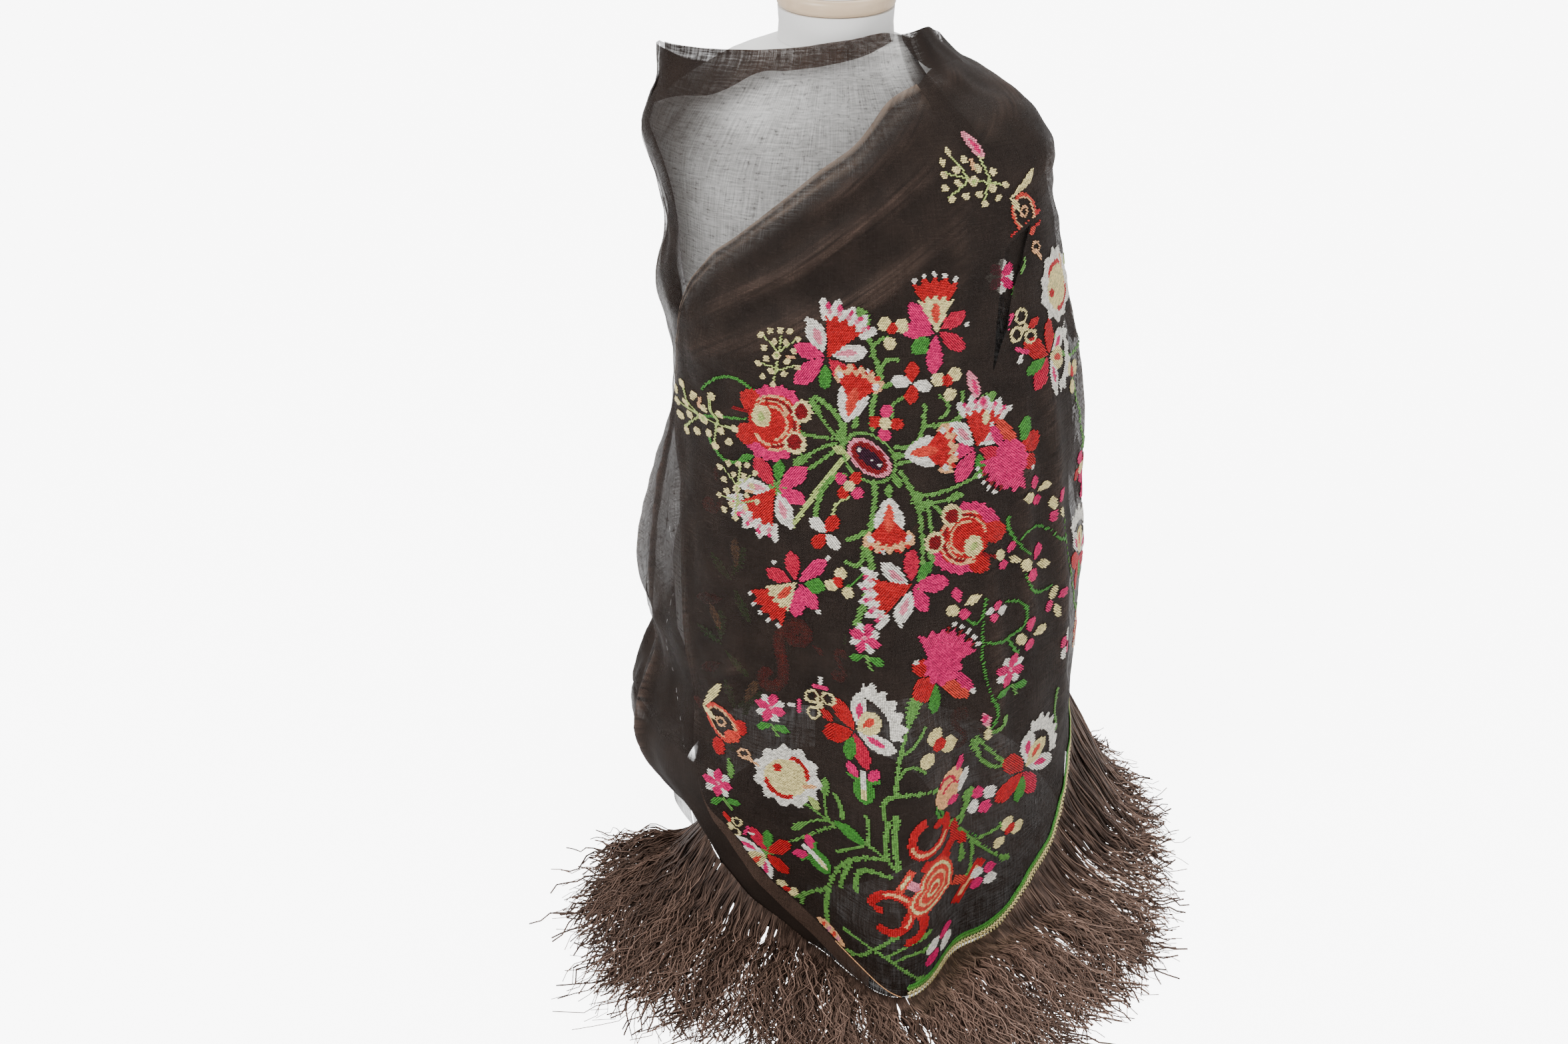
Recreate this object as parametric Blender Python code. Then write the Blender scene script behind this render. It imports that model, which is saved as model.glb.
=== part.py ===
"""A fringed silk gauze shawl, wound once round a limbless dress form that stands on a table.

Metres, +Z up. The form's axis is the Z axis, the table is z = 0, and the front faces -Y.
The cloth is described on one wrap surface: an angle round the form, in degrees from the front
towards the right-hand side, and a height above the table. Each stretch of cloth is a piece of
that surface between a lower and an upper edge, moved out to its layer.
"""

from collections import namedtuple
from math import cos, pi, sin

import bmesh
import bpy
import numpy as np

# Cloth
CLOTH = 0.0012  # wall of one stretch of gauze
SEAM_GAP = 0.0003  # between two stretches that meet edge to edge
LAYER_GAP = 0.0025  # between two layers of curved cloth
TURNED_GAP = 0.0012  # behind the front's top edge, which is turned in
COLUMN = 6.0  # degrees between two columns of a wall's points
MORE_COLUMNS = (-57.0, -51.0, -45.0, -39.0, 9.0, 15.0, 21.0)  # where the cloth bends more sharply
MORE_LEVELS = (0.768, 0.827, 0.849)  # heights of points between the wrap's rows
NEAREST_COLUMN = 1.0  # degrees, at least, between a wall's end and the next column
NEAREST_ROW = 0.004  # a wall's edge is at least this far from the next level's points
TABLE_ZONE = 0.050  # below this height the layers are moved out level, so none reaches the table
USUAL_RADIUS = 0.2  # of the wrap, for turning a length round it into an angle
NORMAL_STEP = 0.002  # how far the surface is felt each way for its normal
OUTER_LAYER = CLOTH + LAYER_GAP  # the outer side of the second layer, from the wrap
BORDER_GAP = 0.0005  # between the hem's edging and the cloth it lies on
BORDER_LAYER = OUTER_LAYER + CLOTH + BORDER_GAP  # the outer side of the hem's edging
TURNED_LAYER = -CLOTH - TURNED_GAP  # the outer side of the edge that is turned in
SWELL = 0.004  # how far the middle of an outer stretch stands off the layer below
EDGE_SHARE = 0.10  # the part of a stretch next to each edge that doesn't swell
TABLE_GAP = 0.001  # hem above the table

# The wrap's section at each height: how far it reaches each way from the form's axis
Section = namedtuple("Section", "height left right front back")
WRAP_ROWS = (
    Section(0.000, 0.184, 0.260, 0.205, 0.215),
    Section(0.060, 0.190, 0.256, 0.208, 0.210),
    Section(0.110, 0.200, 0.253, 0.208, 0.205),
    Section(0.155, 0.213, 0.251, 0.207, 0.199),
    Section(0.200, 0.200, 0.250, 0.205, 0.194),
    Section(0.245, 0.181, 0.249, 0.203, 0.190),
    Section(0.300, 0.190, 0.247, 0.198, 0.184),
    Section(0.355, 0.187, 0.246, 0.193, 0.177),
    Section(0.430, 0.173, 0.238, 0.186, 0.168),
    Section(0.510, 0.156, 0.237, 0.175, 0.158),
    Section(0.580, 0.156, 0.228, 0.167, 0.150),
    Section(0.640, 0.168, 0.217, 0.157, 0.140),
    Section(0.700, 0.157, 0.208, 0.147, 0.130),
    Section(0.745, 0.167, 0.199, 0.135, 0.120),
    Section(0.790, 0.180, 0.193, 0.118, 0.108),
    Section(0.818, 0.173, 0.168, 0.098, 0.098),
    Section(0.835, 0.166, 0.137, 0.085, 0.090),
    Section(0.863, 0.165, 0.101, 0.067, 0.075),
    Section(0.890, 0.165, 0.080, 0.062, 0.070),
)
SECTION_POWER = 2.2  # 2 is an ellipse, and more is squarer

# Broad swellings and hollows of the wrap: where, how wide, and how far out
Lobe = namedtuple("Lobe", "angle angle_width height height_width out")
LOBES = {
    "point": Lobe(13.5, 12.0, 0.00, 0.30, 0.088),
    "right_front": Lobe(36.0, 20.0, 0.00, 0.30, 0.024),
    "left_hollow": Lobe(-62.0, 32.0, 0.00, 0.10, -0.062),
    "left_front": Lobe(-62.0, 22.0, 0.30, 0.12, -0.010),
}

# The largest folds run up and down: where at the bottom and the top, how wide, and how proud
Fold = namedtuple("Fold", "low_angle high_angle low high width out")
FOLDS = {
    "left_outer": Fold(-100.0, -96.0, 0.10, 0.52, 9.0, 0.008),
    "left_inner": Fold(-70.0, -64.0, 0.16, 0.60, 7.0, 0.006),
    "left_back": Fold(-130.0, -120.0, 0.05, 0.74, 10.0, 0.012),
    "back_left": Fold(-158.0, -150.0, 0.02, 0.70, 9.0, 0.011),
    "back_middle": Fold(178.0, 172.0, 0.04, 0.72, 11.0, 0.014),
    "back_right": Fold(146.0, 150.0, 0.03, 0.66, 9.0, 0.010),
    "right_back": Fold(118.0, 120.0, 0.06, 0.70, 8.0, 0.009),
}

FOLD_FADE = 0.42  # the share of its height over which a fold rises from the cloth at each end

# Where the stretches of cloth end, as pairs of an angle and a height
EDGES = {
    "table": ((-180.0, TABLE_GAP), (180.0, TABLE_GAP)),
    "back_hem": ((100.0, 0.012), (150.0, 0.030), (190.0, 0.044), (236.0, 0.001)),
    "front_top": ((-84.0, 0.874), (-59.0, 0.876), (-37.0, 0.879), (9.0, 0.887), (49.0, 0.889), (58.0, 0.884)),
    "left_top": ((236.0, 0.828), (250.0, 0.838), (262.0, 0.856), (276.0, 0.874)),
    "back_top": ((58.0, 0.800), (118.0, 0.795), (180.0, 0.792), (236.0, 0.828)),
    "turned_edge": (
        (-82.0, 0.818), (-70.6, 0.833), (-59.6, 0.839), (-48.6, 0.857), (-32.0, 0.861),
        (-4.7, 0.866), (27.0, 0.875), (44.0, 0.884),
    ),
    "diagonal": (
        (-66.0, 0.562), (-58.0, 0.617), (-54.0, 0.661), (-46.6, 0.696), (-34.0, 0.728),
        (-20.0, 0.760), (-8.0, 0.783), (8.0, 0.803), (30.0, 0.836), (48.0, 0.847),
    ),
    "panel_low": (
        (-66.0, 0.548), (-62.0, 0.505), (-54.0, 0.457), (-48.0, 0.390), (-43.0, 0.290), (-39.0, 0.204),
        (-36.0, 0.162), (-28.0, 0.124), (-20.0, 0.087), (-9.5, 0.055), (1.5, 0.035), (8.0, 0.024), (15.0, 0.001),
        (36.0, 0.001), (44.0, 0.010), (48.0, 0.021),
    ),
    "outer_hem": (
        (15.0, 0.001), (36.0, 0.001), (44.0, 0.010), (51.0, 0.030), (66.0, 0.058), (76.0, 0.098),
        (90.0, 0.145), (110.0, 0.182), (130.0, 0.200), (150.0, 0.210),
    ),
    "slit_front": (
        (48.3, 0.604), (50.0, 0.633), (52.5, 0.672), (55.5, 0.704), (60.0, 0.715), (66.0, 0.722),
        (80.0, 0.730), (118.0, 0.728), (165.0, 0.735),
    ),
    "neck_seam": (
        (48.3, 0.846), (60.0, 0.856), (75.0, 0.856), (95.0, 0.850), (130.0, 0.815), (165.0, 0.785),
    ),
    "neck_top": ((49.5, 0.889), (82.0, 0.884), (95.0, 0.874), (130.0, 0.836), (165.0, 0.806)),
}

# Edges that lie beside another edge, with pairs of an angle and how far they are from it
Beside = namedtuple("Beside", "edge gap")
SLIT_GAPS = (
    (48.3, -0.004), (50.4, -0.022), (53.5, -0.050), (56.5, -0.042), (61.0, -0.020), (66.0, -0.001), (150.0, -0.001),
)
NECK_GAPS = ((49.5, 0.036), (54.0, 0.018), (60.0, 0.001), (165.0, 0.001))
EDGES_BESIDE = {
    "slit_back": Beside("slit_front", SLIT_GAPS),
    "neck_front": Beside("neck_seam", NECK_GAPS),
}

# Each stretch: the angles where it starts and ends, its edges, its layer, swell and colour
Stretch = namedtuple("Stretch", "start end low_edge high_edge layer swell material")
STRETCHES = {
    "inner_front": Stretch(-84.0, 58.0, "table", "front_top", 0.0, 0.0, "sheer"),
    "inner_right": Stretch(58.0, 118.0, "table", "back_top", 0.0, 0.0, "sheer"),
    "back_wrap": Stretch(118.0, 236.0, "back_hem", "back_top", 0.0, 0.0, "sheer"),
    "left_side": Stretch(236.0, 276.0, "table", "left_top", 0.0, 0.0, "sheer"),
    "top_fold": Stretch(-82.0, 44.0, "turned_edge", "front_top", TURNED_LAYER, 0.0, "doubled"),
    "front_panel": Stretch(-66.0, 48.0, "panel_low", "diagonal", OUTER_LAYER, SWELL, "doubled"),
    "side_fold": Stretch(48.3, 150.0, "outer_hem", "slit_back", OUTER_LAYER, SWELL, "doubled"),
    "shoulder_fold": Stretch(48.3, 165.0, "slit_front", "neck_seam", OUTER_LAYER, 0.0, "doubled"),
    "neck_fold": Stretch(49.5, 165.0, "neck_front", "neck_top", OUTER_LAYER, 0.0, "doubled"),
}
POINT_ANGLE = 15.0  # where the outer end's corner lies on the table

# The margin turned under along the outer end's left side, and the edging along its hem
UNDER_MARGIN = 0.024
UNDER_ANGLES = (-36.0, 9.0)
BORDER_WIDTH = 0.014
BORDER_ANGLES = (POINT_ANGLE, 149.0)

# The fringe: its reach from the hem, as pairs of an angle and a length
FRINGE_GAP = 0.0006
FRINGE_REACH = (
    (-84.0, 0.130), (-75.0, 0.155), (-57.0, 0.215), (-40.0, 0.240), (-20.0, 0.240), (0.0, 0.215),
    (14.0, 0.200), (38.0, 0.215), (55.0, 0.205), (79.0, 0.150), (101.0, 0.130), (130.0, 0.110), (150.0, 0.090),
)
# How high it is piled, as pairs of a share of the reach and a height
PILE = ((0.0, 0.010), (0.35, 0.026), (0.75, 0.018), (1.0, 0.006))
FRINGES = {
    "fringe_left": (-84.0, -36.1),
    "fringe_front": (-35.9, 14.9),
    "fringe_right": (15.1, 65.9),
    "fringe_side": (66.1, 149.0),
}

# The dress form
FORM_SIDES = 48
FormSection = namedtuple("FormSection", "height half_width half_depth")
FORM_ROWS = (
    FormSection(0.215, 0.146, 0.104),
    FormSection(0.250, 0.160, 0.114),
    FormSection(0.340, 0.163, 0.119),
    FormSection(0.420, 0.144, 0.108),
    FormSection(0.500, 0.122, 0.094),
    FormSection(0.580, 0.134, 0.104),
    FormSection(0.650, 0.146, 0.116),
    FormSection(0.720, 0.152, 0.108),
    FormSection(0.765, 0.164, 0.092),
    FormSection(0.792, 0.174, 0.080),
    FormSection(0.812, 0.1685, 0.072),
    FormSection(0.828, 0.1505, 0.064),
    FormSection(0.845, 0.1255, 0.058),
    FormSection(0.862, 0.0955, 0.0550),
    FormSection(0.874, 0.0535, 0.0535),
)
NECK_RADIUS = 0.0535
NECK_TOP = 0.9035
RING_RADIUS = 0.0545
RING_HEIGHT = 0.015
CAP_RADIUS = 0.049
CAP_HEIGHT = 0.013
FLANGE_RADIUS = 0.045
FLANGE_HEIGHT = 0.010
POST_RADIUS = 0.014
BASE_RADIUS = 0.120
BASE_HEIGHT = 0.020
BASE_ROUND = 0.004
ROUND_SIDES = 40

COLOURS = {
    "sheer": ((0.055, 0.042, 0.036, 1.0), 0.85, 0.0),
    "doubled": ((0.020, 0.014, 0.012, 1.0), 0.85, 0.0),
    "border": ((0.150, 0.260, 0.090, 1.0), 0.60, 0.0),
    "fringe": ((0.075, 0.045, 0.034, 1.0), 0.55, 0.0),
    "jersey": ((0.800, 0.790, 0.770, 1.0), 0.90, 0.0),
    "wood": ((0.620, 0.440, 0.270, 1.0), 0.45, 0.0),
    "steel": ((0.600, 0.600, 0.600, 1.0), 0.30, 1.0),
}


def clear_scene():
    """Remove what the scene holds."""
    for item in list(bpy.data.objects):
        bpy.data.objects.remove(item, do_unlink=True)


def through(xs, ys, at):
    """A smooth curve through the points (xs, ys), level beyond its ends, read at at."""
    xs, ys, at = np.asarray(xs, float), np.asarray(ys, float), np.asarray(at, float)
    slopes = np.gradient(ys, xs)
    i = np.clip(np.searchsorted(xs, at) - 1, 0, len(xs) - 2)
    span = xs[i + 1] - xs[i]
    t = np.clip((at - xs[i]) / span, 0.0, 1.0)
    start = ys[i] * (1 + 2 * t) * (1 - t) ** 2 + slopes[i] * span * t * (1 - t) ** 2
    end = ys[i + 1] * (3 - 2 * t) * t**2 - slopes[i + 1] * span * (1 - t) * t**2
    return start + end


def bump(offset, width):
    """One at no offset, falling smoothly to nothing over about twice the width."""
    return np.exp(-((offset / width) ** 2))


def turned(angle, centre):
    """The angle from centre, in degrees, the short way round."""
    return (np.asarray(angle) - centre + 180.0) % 360.0 - 180.0


def wrap_radius(angle, height):
    """How far the wrap's outer surface is from the form's axis."""
    heights, *reaches = np.array(WRAP_ROWS).T
    left, right, front, back = (through(heights, reach, height) for reach in reaches)
    across, forward = np.sin(np.radians(angle)), np.cos(np.radians(angle))
    side = np.where(across > 0, right, left)
    depth = np.where(forward > 0, front, back)
    power = SECTION_POWER
    radius = (np.abs(across / side) ** power + np.abs(forward / depth) ** power) ** (-1 / power)
    for lobe in LOBES.values():
        beside = bump(turned(angle, lobe.angle), lobe.angle_width)
        radius = radius + lobe.out * beside * bump(height - lobe.height, lobe.height_width)
    for fold in FOLDS.values():
        share = (height - fold.low) / (fold.high - fold.low)
        centre = fold.low_angle + turned(fold.high_angle, fold.low_angle) * np.clip(share, 0.0, 1.0)
        radius = radius + fold.out * bump(turned(angle, centre), fold.width) * bump(share - 0.5, FOLD_FADE)
    return radius


def wrap_point(angle, height):
    """Points on the wrap's outer surface."""
    angle, height = np.broadcast_arrays(np.asarray(angle, float), np.asarray(height, float))
    radius, turn = wrap_radius(angle, height), np.radians(angle)
    return np.stack([radius * np.sin(turn), -radius * np.cos(turn), height], -1)


def wrap_normal(angle, height):
    """The wrap's outward normals."""
    step = np.degrees(NORMAL_STEP / USUAL_RADIUS)
    around = wrap_point(angle + step, height) - wrap_point(angle - step, height)
    up = wrap_point(angle, height + NORMAL_STEP) - wrap_point(angle, height - NORMAL_STEP)
    normal = np.cross(around, up)
    normal[..., 2] *= np.clip(height / TABLE_ZONE, 0.0, 1.0)
    return normal / np.linalg.norm(normal, axis=-1, keepdims=True)


def edge_height(edge, angle):
    """The height of a named edge at an angle."""
    if edge in EDGES_BESIDE:
        beside = EDGES_BESIDE[edge]
        return edge_height(beside.edge, angle) + np.interp(angle, *np.array(beside.gap).T)
    angles, heights = np.array(EDGES[edge]).T
    return np.maximum(through(angles, heights, angle), TABLE_GAP)


def window(share):
    """Nothing near both ends of a stretch, and one in its middle."""
    return np.sin(pi * np.clip((share - EDGE_SHARE) / (1.0 - 2 * EDGE_SHARE), 0.0, 1.0))


def columns_between(start, end):
    """The angles of a wall's columns: its two ends and the shared ones between them."""
    shared = np.union1d(np.arange(-360.0, 361.0, COLUMN), MORE_COLUMNS)
    inner = shared[(shared > start + NEAREST_COLUMN) & (shared < end - NEAREST_COLUMN)]
    return np.concatenate([[start], inner, [end]])


def wall_columns(angles, low, high):
    """The heights of each column's points: its two ends and the shared levels between them."""
    levels = np.union1d([section.height for section in WRAP_ROWS], MORE_LEVELS)
    columns = []
    for bottom, top in zip(low, high):
        inner = levels[(levels > bottom + NEAREST_ROW) & (levels < top - NEAREST_ROW)]
        columns.append(np.concatenate([[bottom], inner, [top]]))
    return columns


def strip_triangles(left, right, left_start, right_start):
    """Triangles between two neighbouring columns of points, facing out."""
    i, j, faces = 0, 0, []
    while i < len(left) - 1 or j < len(right) - 1:
        climb_left = j == len(right) - 1 or (i < len(left) - 1 and left[i + 1] <= right[j + 1])
        corner = left_start + i + 1 if climb_left else right_start + j + 1
        faces.append((left_start + i, right_start + j, corner))
        i, j = (i + 1, j) if climb_left else (i, j + 1)
    return faces


def material(name):
    """The material of that name, made once."""
    found = bpy.data.materials.get(name)
    if found:
        return found
    colour, roughness, metallic = COLOURS[name]
    made = bpy.data.materials.new(name)
    made.use_nodes = True
    shader = made.node_tree.nodes["Principled BSDF"]
    shader.inputs["Base Color"].default_value = colour
    shader.inputs["Roughness"].default_value = roughness
    shader.inputs["Metallic"].default_value = metallic
    return made


def add_object(name, mesh, material_name):
    """Link a mesh to the scene as a named object."""
    mesh.materials.append(material(material_name))
    made = bpy.data.objects.new(name, mesh)
    bpy.context.scene.collection.objects.link(made)
    return made


def mesh_from(name, points, faces):
    """A mesh of those points and faces."""
    mesh = bpy.data.meshes.new(name)
    mesh.from_pydata([tuple(p) for p in points], [], faces)
    mesh.update()
    return mesh


def add_wall(name, angles, low, high, layer, swell, material_name):
    """A sheet of cloth between two edges: its outer side, its inner side and the rim."""
    columns = wall_columns(angles, low, high)
    starts = np.concatenate([[0], np.cumsum([len(column) for column in columns])])
    angle = np.concatenate([np.full(len(c), a) for a, c in zip(angles, columns)])
    height = np.concatenate(columns)
    along = (angle - angles[0]) / (angles[-1] - angles[0])
    up = np.concatenate([(c - c[0]) / (c[-1] - c[0]) for c in columns])
    out = layer + swell * window(along) * window(up)
    normal = wrap_normal(angle, height)
    outer = wrap_point(angle, height) + normal * out[:, None]
    back, faces = len(outer), []
    for k in range(len(columns) - 1):
        faces += strip_triangles(columns[k], columns[k + 1], int(starts[k]), int(starts[k + 1]))
    faces += [tuple(back + corner for corner in face[::-1]) for face in faces]
    bottom = [int(start) for start in starts[:-1]]
    top = [int(start) - 1 for start in starts[1:]]
    right_side = list(range(bottom[-1], top[-1] + 1))
    left_side = list(range(bottom[0], top[0] + 1))
    rim = bottom[:-1] + right_side + top[::-1][1:] + left_side[::-1][1:]
    for a, b in zip(rim, rim[1:]):
        faces.append((a, back + a, back + b, b))
    mesh = mesh_from(name, np.concatenate([outer, outer - normal * CLOTH]), faces)
    mesh.shade_smooth()
    return add_object(name, mesh, material_name)


def add_stretch(name):
    """One stretch of the shawl, between its two edges and half a seam short of its two ends."""
    stretch = STRETCHES[name]
    trim = np.degrees(0.5 * SEAM_GAP / USUAL_RADIUS)
    angles = columns_between(stretch.start + trim, stretch.end - trim)
    low, high = edge_height(stretch.low_edge, angles), edge_height(stretch.high_edge, angles)
    return add_wall(name, angles, low, high, stretch.layer, stretch.swell, stretch.material)


def add_under_turn():
    """The plain margin that shows below the outer end's left edge."""
    angles = columns_between(*UNDER_ANGLES)
    high = edge_height("panel_low", angles) - SEAM_GAP
    low = np.maximum(high - UNDER_MARGIN, TABLE_GAP)
    return add_wall("under_turn", angles, low, high, OUTER_LAYER, 0.0, "sheer")


def add_border():
    """The needle-worked edging, on the outer end's hem."""
    angles = columns_between(*BORDER_ANGLES)
    low = edge_height("outer_hem", angles)
    return add_wall("hem_border", angles, low, low + BORDER_WIDTH, BORDER_LAYER, 0.0, "border")


def fringe_profile(angle, hem):
    """One cut through the fringe, from the hem out along the table: distances out and heights."""
    reach = through(*np.array(FRINGE_REACH).T, angle)
    profile = [(0.0, 0.0)]
    for share, height in PILE:
        hanging = hem * (1.0 - share) ** 1.5
        profile.append((reach * share, max(height, hanging)))
    profile.append((reach, 0.0))
    return profile


def fringe_start(angle, hem):
    """Where the fringe begins on the table, just clear of the cloth, and its direction out."""
    beside = wrap_radius(angle, np.linspace(0.0, max(hem, PILE[0][1]), 5))
    out = np.array([sin(np.radians(angle)), -cos(np.radians(angle)), 0.0])
    normal = wrap_normal(angle, 0.0) * (1.0, 1.0, 0.0)
    layer = BORDER_LAYER if angle > POINT_ANGLE else OUTER_LAYER
    clear = normal * (layer + FRINGE_GAP) + out * (beside.max() - beside[0])
    return wrap_point(angle, 0.0) + clear, out


def add_fringe(name, start, end):
    """The space that the fringe fills, from the hem out along the table."""
    angles = columns_between(start, end)
    points, faces = [], []
    for angle in angles:
        hem = float(edge_height("outer_hem", angle)) if angle > POINT_ANGLE else 0.0
        inner, out = fringe_start(angle, hem)
        for distance, height in fringe_profile(angle, hem):
            points.append(inner + out * distance + (0.0, 0.0, height))
    count = len(points) // len(angles)
    for i in range(len(angles) - 1):
        for j in range(count):
            a, b = i * count + j, i * count + (j + 1) % count
            faces.append((a, b, b + count, a + count))
    faces.append(tuple(range(count))[::-1])
    last = (len(angles) - 1) * count
    faces.append(tuple(range(last, last + count)))
    return add_object(name, mesh_from(name, points, faces), "fringe")


def add_torso():
    """The padded torso: level sections, joined from the hip to the neck."""
    body = bmesh.new()
    rings = []
    for height, half_width, half_depth in FORM_ROWS:
        ring = []
        for i in range(FORM_SIDES):
            turn = 2 * pi * i / FORM_SIDES
            ring.append(body.verts.new((half_width * sin(turn), -half_depth * cos(turn), height)))
        rings.append(ring)
    for below, above in zip(rings, rings[1:]):
        for i in range(FORM_SIDES):
            j = (i + 1) % FORM_SIDES
            body.faces.new((below[i], below[j], above[j], above[i]))
    body.faces.new(rings[0][::-1])
    body.faces.new(rings[-1])
    mesh = bpy.data.meshes.new("form_torso")
    body.to_mesh(mesh)
    body.free()
    mesh.shade_smooth()
    return add_object("form_torso", mesh, "jersey")


def add_turned(name, profile, material_name):
    """A solid turned about the form's axis from (radius, height) pairs, lowest first."""
    body = bmesh.new()
    rings = []
    for radius, height in profile:
        ring = []
        for i in range(ROUND_SIDES):
            turn = 2 * pi * i / ROUND_SIDES
            ring.append(body.verts.new((radius * sin(turn), -radius * cos(turn), height)))
        rings.append(ring)
    for below, above in zip(rings, rings[1:]):
        for i in range(ROUND_SIDES):
            j = (i + 1) % ROUND_SIDES
            body.faces.new((below[i], below[j], above[j], above[i]))
    body.faces.new(rings[0][::-1])
    body.faces.new(rings[-1])
    mesh = bpy.data.meshes.new(name)
    body.to_mesh(mesh)
    body.free()
    mesh.shade_smooth()
    mesh.set_sharp_from_angle(angle=pi / 5)
    return add_object(name, mesh, material_name)


def add_form():
    """The dress form's pieces above the torso, and the stand below it."""
    add_torso()
    neck_base = FORM_ROWS[-1].height + SEAM_GAP
    add_turned("form_neck", [(NECK_RADIUS, neck_base), (NECK_RADIUS, NECK_TOP)], "jersey")
    ring_low = NECK_TOP + SEAM_GAP
    ring_top = ring_low + RING_HEIGHT
    add_turned("form_ring", [(RING_RADIUS, ring_low), (RING_RADIUS, ring_top)], "wood")
    cap_low = ring_top + SEAM_GAP
    cap = [(CAP_RADIUS * cos(t), cap_low + CAP_HEIGHT * sin(t)) for t in np.linspace(0.0, 0.42 * pi, 6)]
    add_turned("form_cap", cap, "jersey")
    torso_low = FORM_ROWS[0].height
    flange_low = torso_low - SEAM_GAP - FLANGE_HEIGHT
    add_turned("form_flange", [(FLANGE_RADIUS, flange_low), (FLANGE_RADIUS, torso_low - SEAM_GAP)], "steel")
    post_low = BASE_HEIGHT + SEAM_GAP
    add_turned("form_post", [(POST_RADIUS, post_low), (POST_RADIUS, flange_low - SEAM_GAP)], "steel")
    base = [
        (BASE_RADIUS, 0.0),
        (BASE_RADIUS, BASE_HEIGHT - BASE_ROUND),
        (BASE_RADIUS - 0.3 * BASE_ROUND, BASE_HEIGHT - 0.3 * BASE_ROUND),
        (BASE_RADIUS - BASE_ROUND, BASE_HEIGHT),
    ]
    add_turned("form_base", base, "wood")


def main():
    clear_scene()
    for name in STRETCHES:
        add_stretch(name)
    add_under_turn()
    add_border()
    for name, (start, end) in FRINGES.items():
        add_fringe(name, start, end)
    add_form()


main()
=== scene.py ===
"""The looks of a fringed silk gauze shawl, wound once round a limbless dress form.

Metres, +Z up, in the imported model's own frame: the form's axis is the Z axis, the table is z = 0
and the front faces -Y. The cloth lies on one wrap surface, given by an angle round the form, in
degrees from the front towards the right-hand side, and a height above the table. The flowers are
counted work: a chart holds one colour for each stitch of a panel, and shapes are painted on it.
"""

from collections import namedtuple
from math import cos, pi, radians, sin

import bpy
import numpy as np
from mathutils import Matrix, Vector


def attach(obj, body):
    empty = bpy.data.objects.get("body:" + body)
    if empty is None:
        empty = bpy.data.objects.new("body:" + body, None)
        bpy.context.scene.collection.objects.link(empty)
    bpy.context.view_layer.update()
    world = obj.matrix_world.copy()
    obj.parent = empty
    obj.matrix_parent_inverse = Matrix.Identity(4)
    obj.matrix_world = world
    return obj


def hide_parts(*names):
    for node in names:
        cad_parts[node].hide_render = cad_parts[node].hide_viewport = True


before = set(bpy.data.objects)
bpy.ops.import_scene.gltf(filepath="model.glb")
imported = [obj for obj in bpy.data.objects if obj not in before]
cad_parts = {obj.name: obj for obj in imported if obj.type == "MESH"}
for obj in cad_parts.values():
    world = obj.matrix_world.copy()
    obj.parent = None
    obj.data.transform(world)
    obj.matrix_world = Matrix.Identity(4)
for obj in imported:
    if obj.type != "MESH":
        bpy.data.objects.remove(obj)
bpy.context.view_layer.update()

# ---------------------------------------------------------------- the wrap, as it was cut and hung

CLOTH = 0.0012
LAYER_GAP = 0.0025
TURNED_GAP = 0.0012
OUTER_LAYER = CLOTH + LAYER_GAP
TURNED_LAYER = -CLOTH - TURNED_GAP
SWELL = 0.004
EDGE_SHARE = 0.10
TABLE_GAP = 0.001
TABLE_ZONE = 0.050
USUAL_RADIUS = 0.2
NORMAL_STEP = 0.002
FRAME_STEP = 0.3  # degrees, and metres below, over which a direction in the cloth is found
FRAME_RISE = 0.001
SEAM_GAP = 0.0003
PANEL_END = 48.0  # degrees, where the front panel meets the side fold

Section = namedtuple("Section", "height left right front back")
WRAP_ROWS = (
    Section(0.000, 0.184, 0.260, 0.205, 0.215),
    Section(0.060, 0.190, 0.256, 0.208, 0.210),
    Section(0.110, 0.200, 0.253, 0.208, 0.205),
    Section(0.155, 0.213, 0.251, 0.207, 0.199),
    Section(0.200, 0.200, 0.250, 0.205, 0.194),
    Section(0.245, 0.181, 0.249, 0.203, 0.190),
    Section(0.300, 0.190, 0.247, 0.198, 0.184),
    Section(0.355, 0.187, 0.246, 0.193, 0.177),
    Section(0.430, 0.173, 0.238, 0.186, 0.168),
    Section(0.510, 0.156, 0.237, 0.175, 0.158),
    Section(0.580, 0.156, 0.228, 0.167, 0.150),
    Section(0.640, 0.168, 0.217, 0.157, 0.140),
    Section(0.700, 0.157, 0.208, 0.147, 0.130),
    Section(0.745, 0.167, 0.199, 0.135, 0.120),
    Section(0.790, 0.180, 0.193, 0.118, 0.108),
    Section(0.818, 0.173, 0.168, 0.098, 0.098),
    Section(0.835, 0.166, 0.137, 0.085, 0.090),
    Section(0.863, 0.165, 0.101, 0.067, 0.075),
    Section(0.890, 0.165, 0.080, 0.062, 0.070),
)
SECTION_POWER = 2.2

Lobe = namedtuple("Lobe", "angle angle_width height height_width out")
LOBES = {
    "point": Lobe(13.5, 12.0, 0.00, 0.30, 0.088),
    "right_front": Lobe(36.0, 20.0, 0.00, 0.30, 0.024),
    "left_hollow": Lobe(-62.0, 32.0, 0.00, 0.10, -0.062),
    "left_front": Lobe(-62.0, 22.0, 0.30, 0.12, -0.010),
}

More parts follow.
